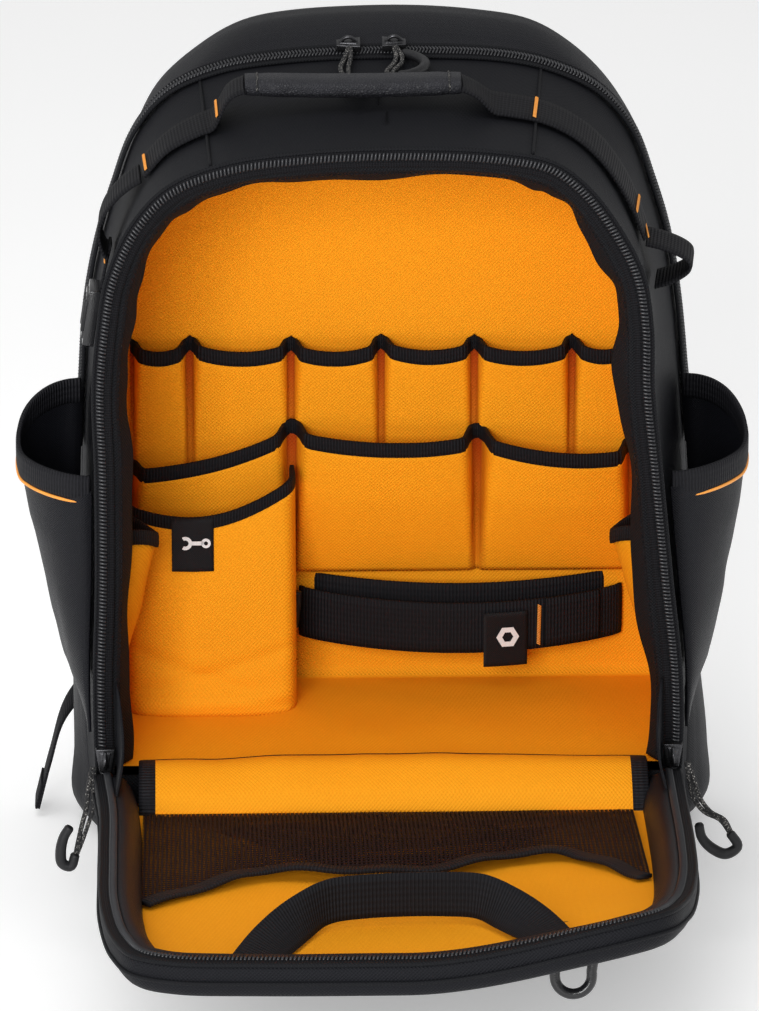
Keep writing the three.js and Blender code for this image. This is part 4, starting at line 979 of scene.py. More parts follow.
box_rows = lofted(
    [
        box_line(90, FLOOR_Z + 0.6, 0),
        box_line(95, 145, 0),
        box_line(99, 175, 0),
        box_line(104, 210, 4),
        box_line(108, BOX_TOP, 13),
    ],
    44,
)
front_share = smoothly((60 - np.abs(box_rows[..., 0] + 106)) / 20)
up_share = np.linspace(0, 1, 44)[:, None]
box_rows[..., 1] += front_share * (ripple(box_rows, 34, 5.0, 3.3, (1, 1, 0.7)) - 2.0) * (1 - up_share ** 3)
foot_fold = np.exp(-(((box_rows[..., 2] - 121 - 0.05 * (box_rows[..., 0] + 106)) / 5.0) ** 2))
box_rows[..., 1] -= front_share * 3.4 * foot_fold
crease = np.exp(
    -(((box_rows[..., 2] - 150 + 0.35 * (box_rows[..., 0] + 150)) / 5.5) ** 2)
) + 0.8 * np.exp(-(((box_rows[..., 2] - 134 - 0.3 * (box_rows[..., 0] + 120)) / 4.5) ** 2))
box_rows[..., 1] += front_share * 2.2 * crease
box_pocket = sheet_of("box_pocket_cloth", box_rows, lining_cloth, ["box_pocket"], 1.5, 1)
bound("box_pocket_tape", box_rows[-1], 9.6, 3.4, stands_for=["box_pocket_binding"], rise=3.4)
for name, x in (("box_left_seam", BOX_LEFT + 1.5), ("box_right_seam", BOX_RIGHT - 1.5)):
    column = box_rows[
        1:-1,
        int(
            np.argmin(np.abs(box_rows[20, :, 0] - x)) if x < -100 else 109 - np.argmin(
                np.abs(box_rows[20, ::-1, 0] - x)
            )
        ),
    ]
    bead(name, column + (0, -0.4, 0), 2.2, lining_cloth)

# The wall pockets: one on each side of the compartment, a slack panel of orange cloth whose
# mouth is bound and gapes as a triangle.
for side, name in ((-1, "left"), (1, "right")):
    rows = []
    for up in np.linspace(0, 1, 22):
        z = FLOOR_Z + 0.8 + (240 - FLOOR_Z) * up
        out = 1 + 30 * (up ** 0.9)
        row = []
        for share in np.linspace(0, 1, 36):
            depth = 28 + 60 * share
            proud = out * math.sin(share * math.pi) ** 0.6
            row.append(
                (
                    shell_x(side, depth, z) - side * (7.0 + proud),
                    RIM_Y + depth,
                    z + 6 * up * math.cos(share * 5),
                )
            )
        rows.append(row)
    rows = np.array(rows)
    rows[..., 0] += side * ripple(rows, 30, 2.6, 6.0)
    panel = sheet_of(
        f"{name}_wall_pocket_cloth", rows, lining_cloth, [f"{name}_wall_pocket"], 1.4, side
    )
    bound(f"{name}_wall_pocket_tape", rows[-1] - (side * 0.6, 0, 0), 9.6, 3.0, rise=3.0)

# A band of black ribbed tape lies along each side of the floor, from the hinge to the back wall: a dark band
# standing in for the shadow in the floor's side corners.
for side, name in ((-1, "left"), (1, "right")):
    line = np.array(
        [
            (
                shell_x(side, depth, FLOOR_Z + 3) - side * 8.5,
                RIM_Y + depth,
                FLOOR_Z + 1.6 + 0.6 * math.sin(depth / 9),
            )
            for depth in np.linspace(6, 156, 60)
        ]
    )
    band(
        f"{name}_floor_corner_shade_tape",
        line,
        np.tile([side * 0.8, 0, 0.6], (60, 1)),
        10,
        2.2,
        binding_tape,
        "binding",
        power=6,
    )

# The tool strap: stiff ribbed webbing looped across the back wall, doubled at its right end,
# with a second band behind it, a plastic bar at its left end, a bar tack and a woven tag.
webbing = ribbed_tape("ribbed_webbing", (0.0125, 0.0125, 0.0150, 1), (0.0042, 0.0042, 0.0054, 1), 0.0022)
STRAP_LEFT, STRAP_RIGHT, STRAP_PROUD, STRAP_FOOT = -50, 152, 30, 139


def strap_line(z, extra, start=0.0, end=1.0, count=70, proud=STRAP_PROUD):
    share = np.linspace(start, end, count)
    out = proud * np.sin(share * math.pi) ** 0.7
    x = STRAP_LEFT + (STRAP_RIGHT - STRAP_LEFT) * share
    dip = -2.2 * np.sin(share * math.pi)
    return np.stack([x, WALL_FACE - out - extra, z + dip], axis=1)


def upright(count):
    return np.tile([0.0, 0.0, 1.0], (count, 1))


line = strap_line(STRAP_FOOT + 18, 1.2)
band(
    "tool_strap_webbing",
    line,
    upright(70),
    33,
    2.8,
    webbing,
    "webbing",
    ["tool_strap"],
    power=8,
    section=16,
)
line = strap_line(STRAP_FOOT + 30, -9, 0, 0.97, 60, 24)
band("tool_strap_second", line, upright(60), 24, 2.4, webbing, "webbing", power=8, section=16)
line = strap_line(STRAP_FOOT + 19, 3.6, 0.76, 0.93, 20)
band("tool_strap_doubled_end", line, upright(20), 32, 2.6, webbing, "webbing", power=8, section=16)
thread = Finish("orange_thread", Roughness=0.5)
thread.colour(thread.blend(thread.cloud(800), (0.62, 0.20, 0.02, 1), (0.95, 0.40, 0.06, 1)))


def bar_tack(name, centre, along, out, length, width=3.0):
    """Dense zigzag stitching in a bar."""
    along = unit(np.asarray(along, float))
    out = unit(np.asarray(out, float))
    count = 24
    across = np.cross(along, out)
    places = np.linspace(-length / 2, length / 2, count)
    spine = np.asarray(centre, float) + along * places[:, None]
    sideways = np.tile(across, (count, 1))
    return loops_along(
        name,
        spine,
        sideways,
        np.tile(out, (count, 1)),
        1.15,
        (0.95, width, 0.9),
        thread,
        lean=0.5,
    )


tack = strap_line(STRAP_FOOT + 18, 0, 0.73, 0.75, 3)[1]
bar_tack("tool_strap_tack", tack + (0, -3.0, 0), (0.02, 0, 1), (0, -1, 0), 27, 2.6)
moulded_bar = [(-54, 22, 152), (-53, 20, 160), (-52, 19.5, 168), (-52, 19.5, 176)]
bead("tool_strap_bar", smooth_line(moulded_bar, 24), 5.4, moulded, sides=14)

# The tags: folded black label cloth with a plain woven picture, a hex nut on the strap's tag
# and a spanner on the pocket's.
label = Finish("label_cloth", Roughness=0.55, Specular_IOR_Level=0.2)
weft, warp = label.part(label.place("UV"), "X"), label.part(label.place("UV"), "Y")
satin = label.wave(weft + warp, 0.0012)
label.colour(label.blend(satin, (0.004, 0.004, 0.005, 1), (0.014, 0.014, 0.016, 1)))
label.relief(satin, 0.00025)
picture = Finish("label_picture", Roughness=0.6)
picture.colour(picture.blend(picture.cloud(900), (0.62, 0.62, 0.62, 1), (0.82, 0.82, 0.82, 1)))


def tag(name, rows, node, motif):
    grid = lofted(rows, 12)
    grid = np.array([evenly(row, 14) for row in grid])
    piece = sheet_of(name, grid, label, [node], 1.2, -1)
    middle, lowest = grid[6, 7], grid[0].mean(axis=0)
    right = unit(grid[6, -1] - grid[6, 0])
    upward = unit(grid[-1].mean(axis=0) - lowest)
    out = unit(np.cross(right, upward)) * 1.0
    if out[1] > 0:
        out = -out
    for k, shape in enumerate(motif):
        at = [middle + right * x + upward * y + out * 0.9 for x, y in shape]
        raised = [point + out * 0.5 for point in at]
        count = len(shape)
        faces = [tuple(range(count, 2 * count))] + [
            (i, (i + 1) % count, count + (i + 1) % count, count + i) for i in range(count)
        ]
        make_piece(f"{name}_picture_{k}", np.array(at + raised), faces, picture, smooth=False)
    return piece


def ring_piece(outer, inner, start, end, sides):
    """A quarter or so of a ring, as a shape."""
    angles = [start + (end - start) * i / sides for i in range(sides + 1)]
    return [(outer * math.cos(a), outer * math.sin(a)) for a in angles] + [
        (inner * math.cos(a), inner * math.sin(a)) for a in reversed(angles)
    ]


nut = [
    [(x * 1.0, y + 1) for x, y in ring_piece(7.2, 3.6, k * math.pi / 3, (k + 1) * math.pi / 3, 1)]
    for k in range(6)
]
spanner_head = [
    [(x - 5.5, y + 0.5) for x, y in ring_piece(4.2, 2.0, math.radians(a), math.radians(a + 60), 3)]
    for a in (-120, -60, 0, 60)
]
spanner = spanner_head + [[(-1.9, -0.7), (5.6, -0.7), (5.6, 1.7), (-1.9, 1.7)]]
spanner += [
    [(x + 7.2, y + 0.5) for x, y in ring_piece(3.0, 1.3, math.radians(a), math.radians(a + 90), 4)]
    for a in (0, 90, 180, 270)
]
strap_tag_rows = [strap_line(z, 5.2, 0.567, 0.703, 9) for z in (132, 149, 167.5)]
tag("strap_tag", strap_tag_rows, "tool_strap_tag", nut)
box_front = RIM_Y + 108 - 4.2
pocket_tag_rows = [
    [(-130, box_front - lean, z), (-117, box_front - lean - 0.8, z), (-104, box_front - lean, z)]
    for z, lean in ((204, 5.6), (220, 3.4), (237, 1.2))
]
tag("pocket_tag", pocket_tag_rows, "box_pocket_tag", spanner)

# The side pockets: satin-faced black cloth, slack and rounded, with a deep ribbed binding at
# the mouth and a thin orange piping under it.
satin_cloth = black_cloth(
    "satin_cloth", (0.0110, 0.0114, 0.0152, 1), (0.0040, 0.0042, 0.0058, 1), 0.0016, 0.46, 0.14
)
piping = Finish("orange_piping", Roughness=0.45)
piping.colour(piping.blend(piping.cloud(500), (0.80, 0.26, 0.03, 1), (0.98, 0.42, 0.06, 1)))
side_binding = ribbed_tape(
    "side_binding", (0.0145, 0.0145, 0.0180, 1), (0.0035, 0.0035, 0.0048, 1), 0.0022, 0.6
)
SIDE_ROWS = [(0, 0.03), (0.2, 0.36), (0.5, 0.66), (0.8, 0.9), (1, 1)]
for side, name in ((-1, "left"), (1, "right")):
    rows = []
    shares = np.linspace(0, 1, 60)
    for up in np.linspace(0, 1, 40):
        out = float(np.interp(up, [row[0] for row in SIDE_ROWS], [row[1] for row in SIDE_ROWS]))
        row = []
        for share in shares:
            depth = 26 + 120 * share
            mouth = 282 + 24 * float(smoothly((share - 0.35) / 0.65))
            z = 126 + (mouth - 126) * up
            proud = 44 * out * math.sin(share * math.pi) ** 0.6
            row.append((shell_x(side, depth, z) + side * (proud + 2.8), RIM_Y + depth, z))
        rows.append(row)
    rows = np.array(rows)
    folds = ripple(rows, 48, 6.5, 8.0 + side, (1, 1.5, 0.45)) + ripple(rows, 20, 1.4, 2.0)
    quiet = np.sin(np.clip(shares, 0, 1) * math.pi)[None, :] * (
        np.sin(np.linspace(0.06, 0.96, 40) * math.pi) ** 0.6
    )[:, None]
    rows[..., 0] -= side * folds * quiet
    pocket = sheet_of(
        f"{name}_side_pocket_cloth",
        rows,
        satin_cloth,
        [f"{name}_side_pocket"],
        2.0,
        1 if side > 0 else -1,
    )
    mouth_line = rows[-1] + (side * 1.2, 0, 0)
    line = evenly(mouth_line, 90)
    band(
        f"{name}_side_pocket_tape",
        line + (0, 0, 1.5),
        np.tile([0.0, 0, 1.0], (90, 1)),
        15.5,
        3.4,
        side_binding,
        "binding",
        [f"{name}_side_pocket_binding"],
        section=16,
        power=6,
    )
    bead(
        f"{name}_side_pocket_piping",
        evenly(rows[-1][:-7] + (side * 2.2, 0, -7.4), 90),
        2.1,
        piping,
    )

# The flap: the bag's front, a shallow tray of padded black cloth, unzipped and folded forward
# on its hinge. Its right corner curls up a little.
FLAP_LENGTH, FLAP_DEPTH, FLAP_CURL = 384, 20, 27
FLAP_ANGLE = math.radians(5)
FLAP_ROWS = [
    (0, 1, 1.01),
    (0.22, 0.972, 1),
    (0.47, 0.965, 0.985),
    (0.7, 0.955, 0.955),
    (0.87, 0.91, 0.9),
    (0.95, 0.845, 0.83),
    (0.985, 0.72, 0.7),
    (0.997, 0.45, 0.45),
]
flap_edge = outline(FLAP_ROWS, 1, 2, RIM_HALF, FLAP_LENGTH, False)


def on_flap(x, along, up):
    """A point on the open flap: its place across, its distance from the hinge, its height."""
    x, along, up = np.asarray(x, float), np.asarray(along, float), np.asarray(up, float)
    curl = FLAP_CURL * smoothly(x / RIM_HALF) * (along / FLAP_LENGTH) ** 2
    rise = up + curl
    y = RIM_Y - 0.4 - along * math.cos(FLAP_ANGLE) + rise * math.sin(FLAP_ANGLE)
    z = HINGE_Z + along * math.sin(FLAP_ANGLE) + rise * math.cos(FLAP_ANGLE)
    return np.stack(np.broadcast_arrays(x, y, z), axis=-1)


def flap_arch(edge_inset, up, start=None, size=1.0, count=301):
    start = edge_inset if start is None else start
    flat = inset(read(flap_edge, np.linspace(0, 1, count)), edge_inset)
    along = FLAP_LENGTH / 2 + (np.maximum(flat[:, 2], start) - FLAP_LENGTH / 2) * size
    return on_flap(flat[:, 0] * size, along, up)


def closed(points):
    return np.vstack([points, points[:1]])


flap_side = [(0, 0), (-0.6, -4), (0, -10), (1.6, -14.5), (4.6, -18), (10, -20), (16, -20)]
outer = [closed(flap_arch(edge, up, max(edge, 0))) for edge, up in flap_side]
outer = list(lofted(outer, 15))
floor_rings = [closed(flap_arch(16, -20, 16, size)) for size in (0.92, 0.8, 0.62, 0.42, 0.2, 0.02)]
for ring in floor_rings:
    ring[:-1, 2] += ripple(ring[:-1], 60, 2.0, 1.0) * 0.5
    ring[-1] = ring[0]
inner = [
    closed(flap_arch(edge, up, edge))
    for edge, up in ((2.5, 0), (2.5, -10), (5, -15), (12, -17.5), (16, -17.5))
]
inner += [closed(flap_arch(16, -17.5, 16, size)) for size in (0.8, 0.42, 0.02)]
boxed(
    "flap_tray",
    [np.array(outer + floor_rings), np.array(inner)[::-1], np.array([inner[0], outer[0]])],
    shell_cloth,
    ["flap_shell"],
)
seam_line = flap_arch(-0.7, -9.5, 3)
bead("flap_side_seam", seam_line, 2.4, facing_cloth)

# The flap's zip tape and coil lie on its raised edge, with a soft padded band inside them.
def across_of(points):
    """The direction across a line on the flap, pointing away from its middle."""
    run = unit(np.gradient(points, axis=0))
    across = unit(np.cross(run, on_flap(0, 0, 1) - on_flap(0, 0, 0)))
    return across


def flap_up(points):
    return np.tile(unit(on_flap(0, 0, 1) - on_flap(0, 0, 0)), (len(points), 1))


line = flap_arch(5.6, 1.6, 6, count=420)
band("flap_zip_tape", line, across_of(line), 10.6, 1.4, zip_tape, "zip_coil", ["flap_zip"], power=6)
line = flap_arch(7.6, 2.2, 8, count=420)
loops_along(
    "flap_zip_loops",
    line,
    across_of(line),
    flap_up(line),
    2.3,
    (1.7, 4.6, 1.9),
    coil_nylon,
    lean=0.18,
)
line = flap_arch(0.6, 0.9, 3, count=420)
bead("flap_rim_roll", line, 3.0, facing_cloth)
band_rows = [
    flap_arch(edge, up, max(edge, 4), count=220)
    for edge, up in (
        (10.6, 1.0), (12.6, 1.6), (15.5, 1.4), (18.5, -0.8), (21, -4.5), (22.5, -9), (23, -13)
    )
]
band_rows = lofted(band_rows, 14)
share = np.linspace(0, 1, 220)
band_rows[..., 2] += (
    0.9 * np.sin(share * 60) * np.sin(share * 23 + 1)
)[None, :] * np.linspace(0, 1, 14)[:, None]
sheet_of("flap_padded_edge", band_rows, satin_cloth, ["flap_edge_band"], 1.5, 1)

# The flap's lining: orange cloth, a little baggy.
LINING_TOP = -14.3
rings = []
for size in (1.0, 0.94, 0.86, 0.76, 0.64, 0.5, 0.34, 0.18, 0.02):
    ring = closed(flap_arch(14.1, LINING_TOP, 14.1, size, 241))
    swell_up = ripple(ring[:-1], 70, 5.0, 4.4) * (1 - size ** 6) * 0.35
    ring[:-1, 2] += swell_up
    ring[-1] = ring[0]
    rings.append(ring)
flap_lining = boxed("flap_lining_cloth", [np.array(rings)], lining_cloth, ["flap_lining"])
walled(flap_lining, 1.2, -1)

# The lip over the hinge: a panel of orange cloth that curls out of the compartment, with a thin
# binding along its rear edge and ribbed bindings at its ends.
LIP_LEFT, LIP_RIGHT = -148, 156
lip_profile = [
    (5, 6.4), (-2, 9.4), (-8, 10.6), (-15, 10.2), (-22, 7.5), (-29, 3.6), (-34, 0), (-39, -6), (-41.5, -11)
]
profile = smooth_line([(0, RIM_Y + back_by, HINGE_Z + rise) for back_by, rise in lip_profile], 26)
xs = np.linspace(LIP_LEFT, LIP_RIGHT, 120)
lip_rows = np.array([[(x, y, z) for x in xs] for _, y, z in profile])
lip_rows[..., 2] += 0.8 * ripple(lip_rows, 34, 2.4, 5.5, (1, 0.4, 0.4)) - 1.0
lip_rows[..., 2] += (1.6 * np.cos(xs / 50))[None, :] * np.linspace(1, 0.3, 26)[:, None]
lip = sheet_of("hinge_lip", lip_rows[:, ::-1], lining_cloth, ["front_lip"], 1.6, 1)
along_x = np.tile([0.0, 1.0, 0.4], (90, 1))
band(
    "hinge_lip_rear_tape",
    evenly(lip_rows[0], 90) + (0, -1.0, 0.9),
    along_x,
    4.2,
    2.4,
    binding_tape,
    "binding",
    section=12,
)
for name, k in (("left", 1), ("right", 118)):
    spine = evenly(lip_rows[:, k], 30) + (0, -0.4, 0.9)
    band(
        f"hinge_lip_{name}_tape",
        spine,
        np.tile([1.0, 0, 0], (30, 1)),
        10.5,
        2.6,
        side_binding,
        "binding",
        power=6,
    )

# The mesh pocket on the flap: a panel of brown-black net through which the orange shows, with
# a wavy hem of wide ribbed tape.
net = Finish("pocket_net", Roughness=0.8, Specular_IOR_Level=0.1)
u, v = net.part(net.place("UV"), "X"), net.part(net.place("UV"), "Y")
holes = net.wave(u, 0.0026) * net.wave(v, 0.0034)
rows_of_net = net.wave(v, 0.0034)
net.colour(
    net.blend(
        rows_of_net * 0.6 + net.cloud(30) * 0.4, (0.0070, 0.0030, 0.0030, 1), (0.026, 0.011, 0.010, 1)
    )
)
net.feed("Alpha", 1 - (holes > 0.36) * 0.9)
net.relief(rows_of_net + holes, 0.0006)
MESH_HEM = [
    (-1, 226),
    (-0.78, 200),
    (-0.5, 172),
    (-0.2, 178),
    (0.1, 181),
    (0.45, 152),
    (0.68, 146),
    (0.86, 172),
    (1, 208),
]
hem = smooth_line([(across, along / 100, 0) for across, along in MESH_HEM], 110)


def net_line(share, up):
    along = 44 + (hem[:, 1] * 100 - 44) * share
    crown = 9 * math.sin(share * math.pi * 0.75) * np.cos(hem[:, 0] * math.pi / 2.2)
    return on_flap(hem[:, 0] * 148, along, LINING_TOP + up + crown)


net_rows = np.array([net_line(share, 2.4) for share in np.linspace(0, 1, 30)])
net_rows[..., 2] += ripple(net_rows, 42, 3.6, 6.6, (1, 0.6, 1)) * (
    np.sin(np.linspace(0, 1, 30) * math.pi) ** 0.5
)[:, None] - 0.4
net_panel = sheet_of("flap_net_pocket", net_rows, net, ["mesh_pocket"], 1.0, 1)
hem_line = evenly(net_rows[-1], 130)
hem_line[:, 2] += 0.9 * np.sin(np.linspace(0, 44, 130)) + 0.8
hem_across = unit(np.cross(np.gradient(hem_line, axis=0), (0, 0.1, 1)))
band(
    "flap_net_hem",
    hem_line - hem_across * np.sign(hem_across[65, 1]) * 4.0,
    hem_across,
    10.5,
    2.8,
    side_binding,
    "binding",
    ["mesh_pocket_hem"],
    power=6,
    section=14,
)

# The flap's grab handle: a loop of webbing whose legs lie flat towards the flap's tip, and whose
# middle stands on its side.
HANDLE_ROWS = [
    (-86, 346, -10.6, 0.1),
    (-72, 318, -5, 0.35),
    (-56, 292, 0, 0.6),
    (-40, 274, 3.6, 0.9),
    (-18, 268, 4.6, 1),
    (28, 268, 4.6, 1),
    (46, 274, 3.6, 0.9),
    (60, 290, 0, 0.6),
    (74, 312, -5, 0.35),
    (86, 338, -10.6, 0.1),
]
handle = smooth_line([on_flap(x, along, up) for x, along, up, _ in HANDLE_ROWS], 110)
leans = np.interp(np.linspace(0, 1, 110), np.linspace(0, 1, 10), [row[3] for row in HANDLE_ROWS])[:, None]
run = unit(np.gradient(handle, axis=0))
upright_way = flap_up(handle)
flat_way = unit(np.cross(upright_way, run))
band(
    "flap_grab_handle",
    handle,
    unit(flat_way * (1 - leans) + upright_way * leans),
    26,
    2.4,
    webbing,
    "webbing",
    ["flap_handle"],
    power=8,
    section=16,
)

# The hook loop: a glossy moulded U that hangs on a tab of webbing under the flap's tip.
hook_turn = math.pi / 2 - FLAP_ANGLE * 2
hook_at = on_flap(98, 300, -FLAP_DEPTH - 1.6)
flat_hook = [(-13, 0), (-12, -8), (-10.5, -17.5)] + [
    (10.5 * math.cos(a), -20.5 + 10.5 * math.sin(a)) for a in np.linspace(math.pi, 2 * math.pi, 11)
] + [(10.5, -17.5), (12, -8), (13, 0)]
turned_hook = [
    hook_at + (
        x,
        y * math.cos(hook_turn) - 3 * math.sin(hook_turn),
        y * math.sin(hook_turn) + 3 * math.cos(hook_turn),
    )
    for x, y in flat_hook
]
glossy = Finish("glossy_plastic", Roughness=0.2, Specular_IOR_Level=0.5)
glossy.colour(glossy.blend(glossy.cloud(90), (0.008, 0.008, 0.009, 1), (0.016, 0.016, 0.018, 1)))
glossy.relief(glossy.cloud(1200, 2), 0.0001)
bead("flap_hook_loop", smooth_line(turned_hook, 70), 6.2, glossy, ["flap_hook"], 16)
tab = np.linspace(hook_at + (0, 12, 4.5), hook_at + (0, -6, 1.5), 14)
band("flap_hook_tab", tab, np.tile([1.0, 0, 0], (14, 1)), 22, 3.4, webbing, "webbing", power=8)

# The gussets: two small triangles of black cloth that stop the flap at its hinge.
for side, name in ((-1, "left"), (1, "right")):
    root = shell_at(pass_at(HINGE_Z + 6, side), LINING_SILL)
    x = root[0] - side * (ZIP_WIDTH + SHELL_WALL)
    high, low = np.array([x, RIM_Y - 4.2, HINGE_Z + 62]), np.array([x, RIM_Y - 4.2, HINGE_Z + 6])
    far, near = on_flap(x, 60, 3.8), on_flap(x, 8, 3.8)
    rows = []
    for down in np.linspace(0, 1, 16):
        start, end = high + (low - high) * down, far + (near - far) * down
        row = [
            start + (end - start) * k + (
                -side * 4.0 * math.sin(math.pi * k) * (1 - down), 0, -5 * math.sin(math.pi * k) * (1 - down)
            )
            for k in np.linspace(0, 1, 16)
        ]
        rows.append(row)
    gusset = sheet_of(
        f"{name}_gusset_cloth", np.array(rows), shell_cloth, [f"{name}_gusset"], 1.4, side
    )

# The grip: leather-covered foam rolled round the haul webbing, stitched along its lower edge
# and across both ends.
HAUL_DEPTH = 76
HAUL_Y = RIM_Y + HAUL_DEPTH
GRIP_LEFT, GRIP_RIGHT, GRIP_Y, GRIP_DEPTH, GRIP_HEIGHT = -83, 47, HAUL_Y, 26, 12
leather = Finish("grip_leather", Roughness=0.5, Specular_IOR_Level=0.25)
grain = leather.node(
    "ShaderNodeTexVoronoi", {"feature": "DISTANCE_TO_EDGE"}, {"Vector": leather.place(), "Scale": 620.0}, 0
)
scuffs = leather.cloud(60, 5)
leather.colour(
    leather.blend(scuffs * 0.7 + grain * 1.6, (0.0080, 0.0080, 0.0100, 1), (0.0260, 0.0265, 0.0320, 1))
)
leather.feed("Roughness", scuffs * 0.3 + 0.34)
leather.relief(grain + scuffs * 0.6, 0.0009)


def top_z(x, depth):
    line = shell_at(arch_places(HINGE_Z, 600), depth)
    return float(np.interp(x, line[:, 0], line[:, 2]))


grip_foot = top_z((GRIP_LEFT + GRIP_RIGHT) / 2, HAUL_DEPTH) + 7
count = 90
xs = np.linspace(GRIP_LEFT, GRIP_RIGHT, count)
sag = 1.2 * np.sin(np.linspace(0, math.pi, count))
spine = np.stack([xs, np.full(count, GRIP_Y), grip_foot + GRIP_HEIGHT / 2 - sag], axis=1)
ends = np.minimum(np.arange(count), np.arange(count)[::-1])
swell = 0.90 + 0.12 * (1 - np.exp(-ends / 5.0)) - 0.05 * np.exp(-(((ends - 6) / 1.6) ** 2))
band(
    "leather_grip",
    spine,
    np.tile([0.0, 1, 0], (count, 1)),
    GRIP_DEPTH - 1,
    GRIP_HEIGHT,
    leather,
    "grip_leather",
    ["grip"],
    swell=swell,
    section=28,
    power=2.7,
)
for name, y, z in (("front", GRIP_Y - 12.4, -2.5), ("rear", GRIP_Y + 12.4, -2.5)):
    line = spine[5:-5] * (1, 0, 1) + (0, y, z)
    loops_along(
        f"grip_{name}_stitch",
        line,
        np.tile([0.0, 0, 1], (80, 1)),
        np.tile([0.0, -1 if name == "front" else 1, 0], (80, 1)),
        3.2,
        (2.2, 0.8, 0.7),
        facing_cloth,
    )
for name, k in (("left", 5), ("right", count - 6)):
    ring_angles = np.linspace(-0.2, math.pi + 0.2, 26)
    line = np.array(
        [
            (
                xs[k],
                GRIP_Y + 12.6 * math.cos(a),
                spine[k, 2] + 6.2 * math.sin(a) ** 0.8 if math.sin(a) > 0 else spine[k, 2] + 6 * math.sin(a),
            )
            for a in ring_angles
        ]
    )
    bead(f"grip_{name}_end_seam", line, 1.2, braid, sides=8)

# The haul webbing: a band over the top of the bag, on each side of the grip, stitched down at
# its ends by orange bar tacks. It ends in a gear loop on the left and a folded tab on the right.
TOP_WIDTH, GRIP_RUN = 38, 26
LOOP_TOP_Z, LOOP_FOOT_Z, LOOP_PROUD = 470, 418, 11
TAB_TOP_Z, TAB_FOOT_Z, TAB_PROUD = 428, 398, 24


def over_top(side, depth):
    """The haul webbing's line on one side at a depth, from the grip down to its foot."""
    grip_end = GRIP_LEFT if side < 0 else GRIP_RIGHT
    foot_z = LOOP_TOP_Z if side < 0 else TAB_TOP_Z
    skin = inset(shell_at(arch_places(HINGE_Z, 400), depth), -2.0)
    lying = skin[((skin[:, 0] - grip_end) * side > GRIP_RUN) & (skin[:, 2] > foot_z + 2)]
    if side < 0:
        lying = lying[::-1]
    rises = [(0.4, grip_foot + 6), (GRIP_RUN * 0.35, grip_foot + 1.6)]
    climb = [(grip_end + side * along, RIM_Y + depth, z) for along, z in rises]
    near = grip_end + side * GRIP_RUN * 0.75
    climb.append((near, RIM_Y + depth, top_z(near, depth) + 2.4))
    return evenly(
        smooth_line(
            [*climb, *lying[::12], (shell_x(side, depth, foot_z) + side * 2, RIM_Y + depth, foot_z)], 160
        ),
        110,
    )


def on_side(side, top_z_at, foot_z, proud, depth, count=60):
    points = []
    for share in np.linspace(0, 1, count):
        z = top_z_at + (foot_z - top_z_at) * share
        out = 1.9 + proud * math.sin(share * math.pi) ** 0.8
        points.append((shell_x(side, depth, z) + side * out, RIM_Y + depth, z))
    return smooth_line(points[::4] + [points[-1]], count)


for side, name in ((-1, "left"), (1, "right")):
    front, rear = over_top(side, HAUL_DEPTH - TOP_WIDTH / 2), over_top(side, HAUL_DEPTH + TOP_WIDTH / 2)
    band(
        f"{name}_haul_webbing",
        (front + rear) / 2,
        unit(rear - front),
        TOP_WIDTH,
        2.2,
        webbing,
        "webbing",
        [f"{name}_top_webbing"],
        power=8,
        section=16,
    )
    line, across = (front + rear) / 2, unit(rear - front)
    run = unit(np.gradient(line, axis=0))
    out = unit(np.cross(run, across)) * (1 if side < 0 else -1)
    if out[20, 2] < 0:
        out = -out
    for k, length in ((34, 35), (96, 32)) if side > 0 else ((30, 35), (104, 32)):
        bar_tack(f"{name}_haul_tack_{k}", line[k] + out[k] * 1.6, across[k], out[k], length, 2.4)
for side, name, top, foot, proud, node in (
    (-1, "gear_loop_webbing", LOOP_TOP_Z - 3, LOOP_FOOT_Z, LOOP_PROUD, "gear_loop"),
    (1, "side_tab_webbing", TAB_TOP_Z - 3, TAB_FOOT_Z, TAB_PROUD, "right_tab"),
):
    front, rear = on_side(side, top, foot, proud, 57), on_side(side, top, foot, proud, 95)
    band(
        name,
        (front + rear) / 2,
        unit(rear - front),
        TOP_WIDTH,
        2.2,
        webbing,
        "webbing",
        [node],
        power=8,
        section=16,
    )
bar_tack("gear_loop_tack", (shell_x(-1, HAUL_DEPTH, 416) - 3.2, HAUL_Y, 416), (0, 1, 0), (-1, 0, 0), 32, 2.4)
bar_tack("side_tab_tack", (shell_x(1, HAUL_DEPTH, 430) + 3.2, HAUL_Y, 430), (0, 1, 0), (1, 0, 0.2), 32, 2.4)

# The top panel's seams: two piped seams run from front to back over the shoulders of the shell.
for name, x in (("left", -104), ("right", 87)):
    line = [
        (
            x + (12 if x > 0 else -6) * k,
            RIM_Y + 4 + 150 * k,
            top_z(x + (12 if x > 0 else -6) * k, 4 + 150 * k) + 0.3,
        )
        for k in np.linspace(0, 1, 24)
    ]
    bead(f"{name}_top_seam", evenly(line, 50), 2.0, facing_cloth, sides=8)

# The side buckle: a moulded side-release buckle that lies on the left side below the gear
# loop, its two prongs inside a ribbed housing.
def hard(name, build, finish, bevel=0.5):
    """A moulded or cast piece, shaped from a primitive with Blender's own tools."""
    bpy.ops.object.select_all(action="DESELECT")
    piece = build()
    piece.name = name
    bpy.context.view_layer.objects.active = piece
    piece.select_set(True)
    edges = piece.modifiers.new("edges", "BEVEL")
    edges.width, edges.segments = bevel * 0.001, 3
    edges.limit_method, edges.angle_limit = "ANGLE", math.radians(35)
    bpy.ops.object.modifier_apply(modifier=edges.name)
    bpy.ops.object.shade_smooth_by_angle(angle=math.radians(40))
    piece.data.materials.clear()
    piece.data.materials.append(finish.material)
    return piece


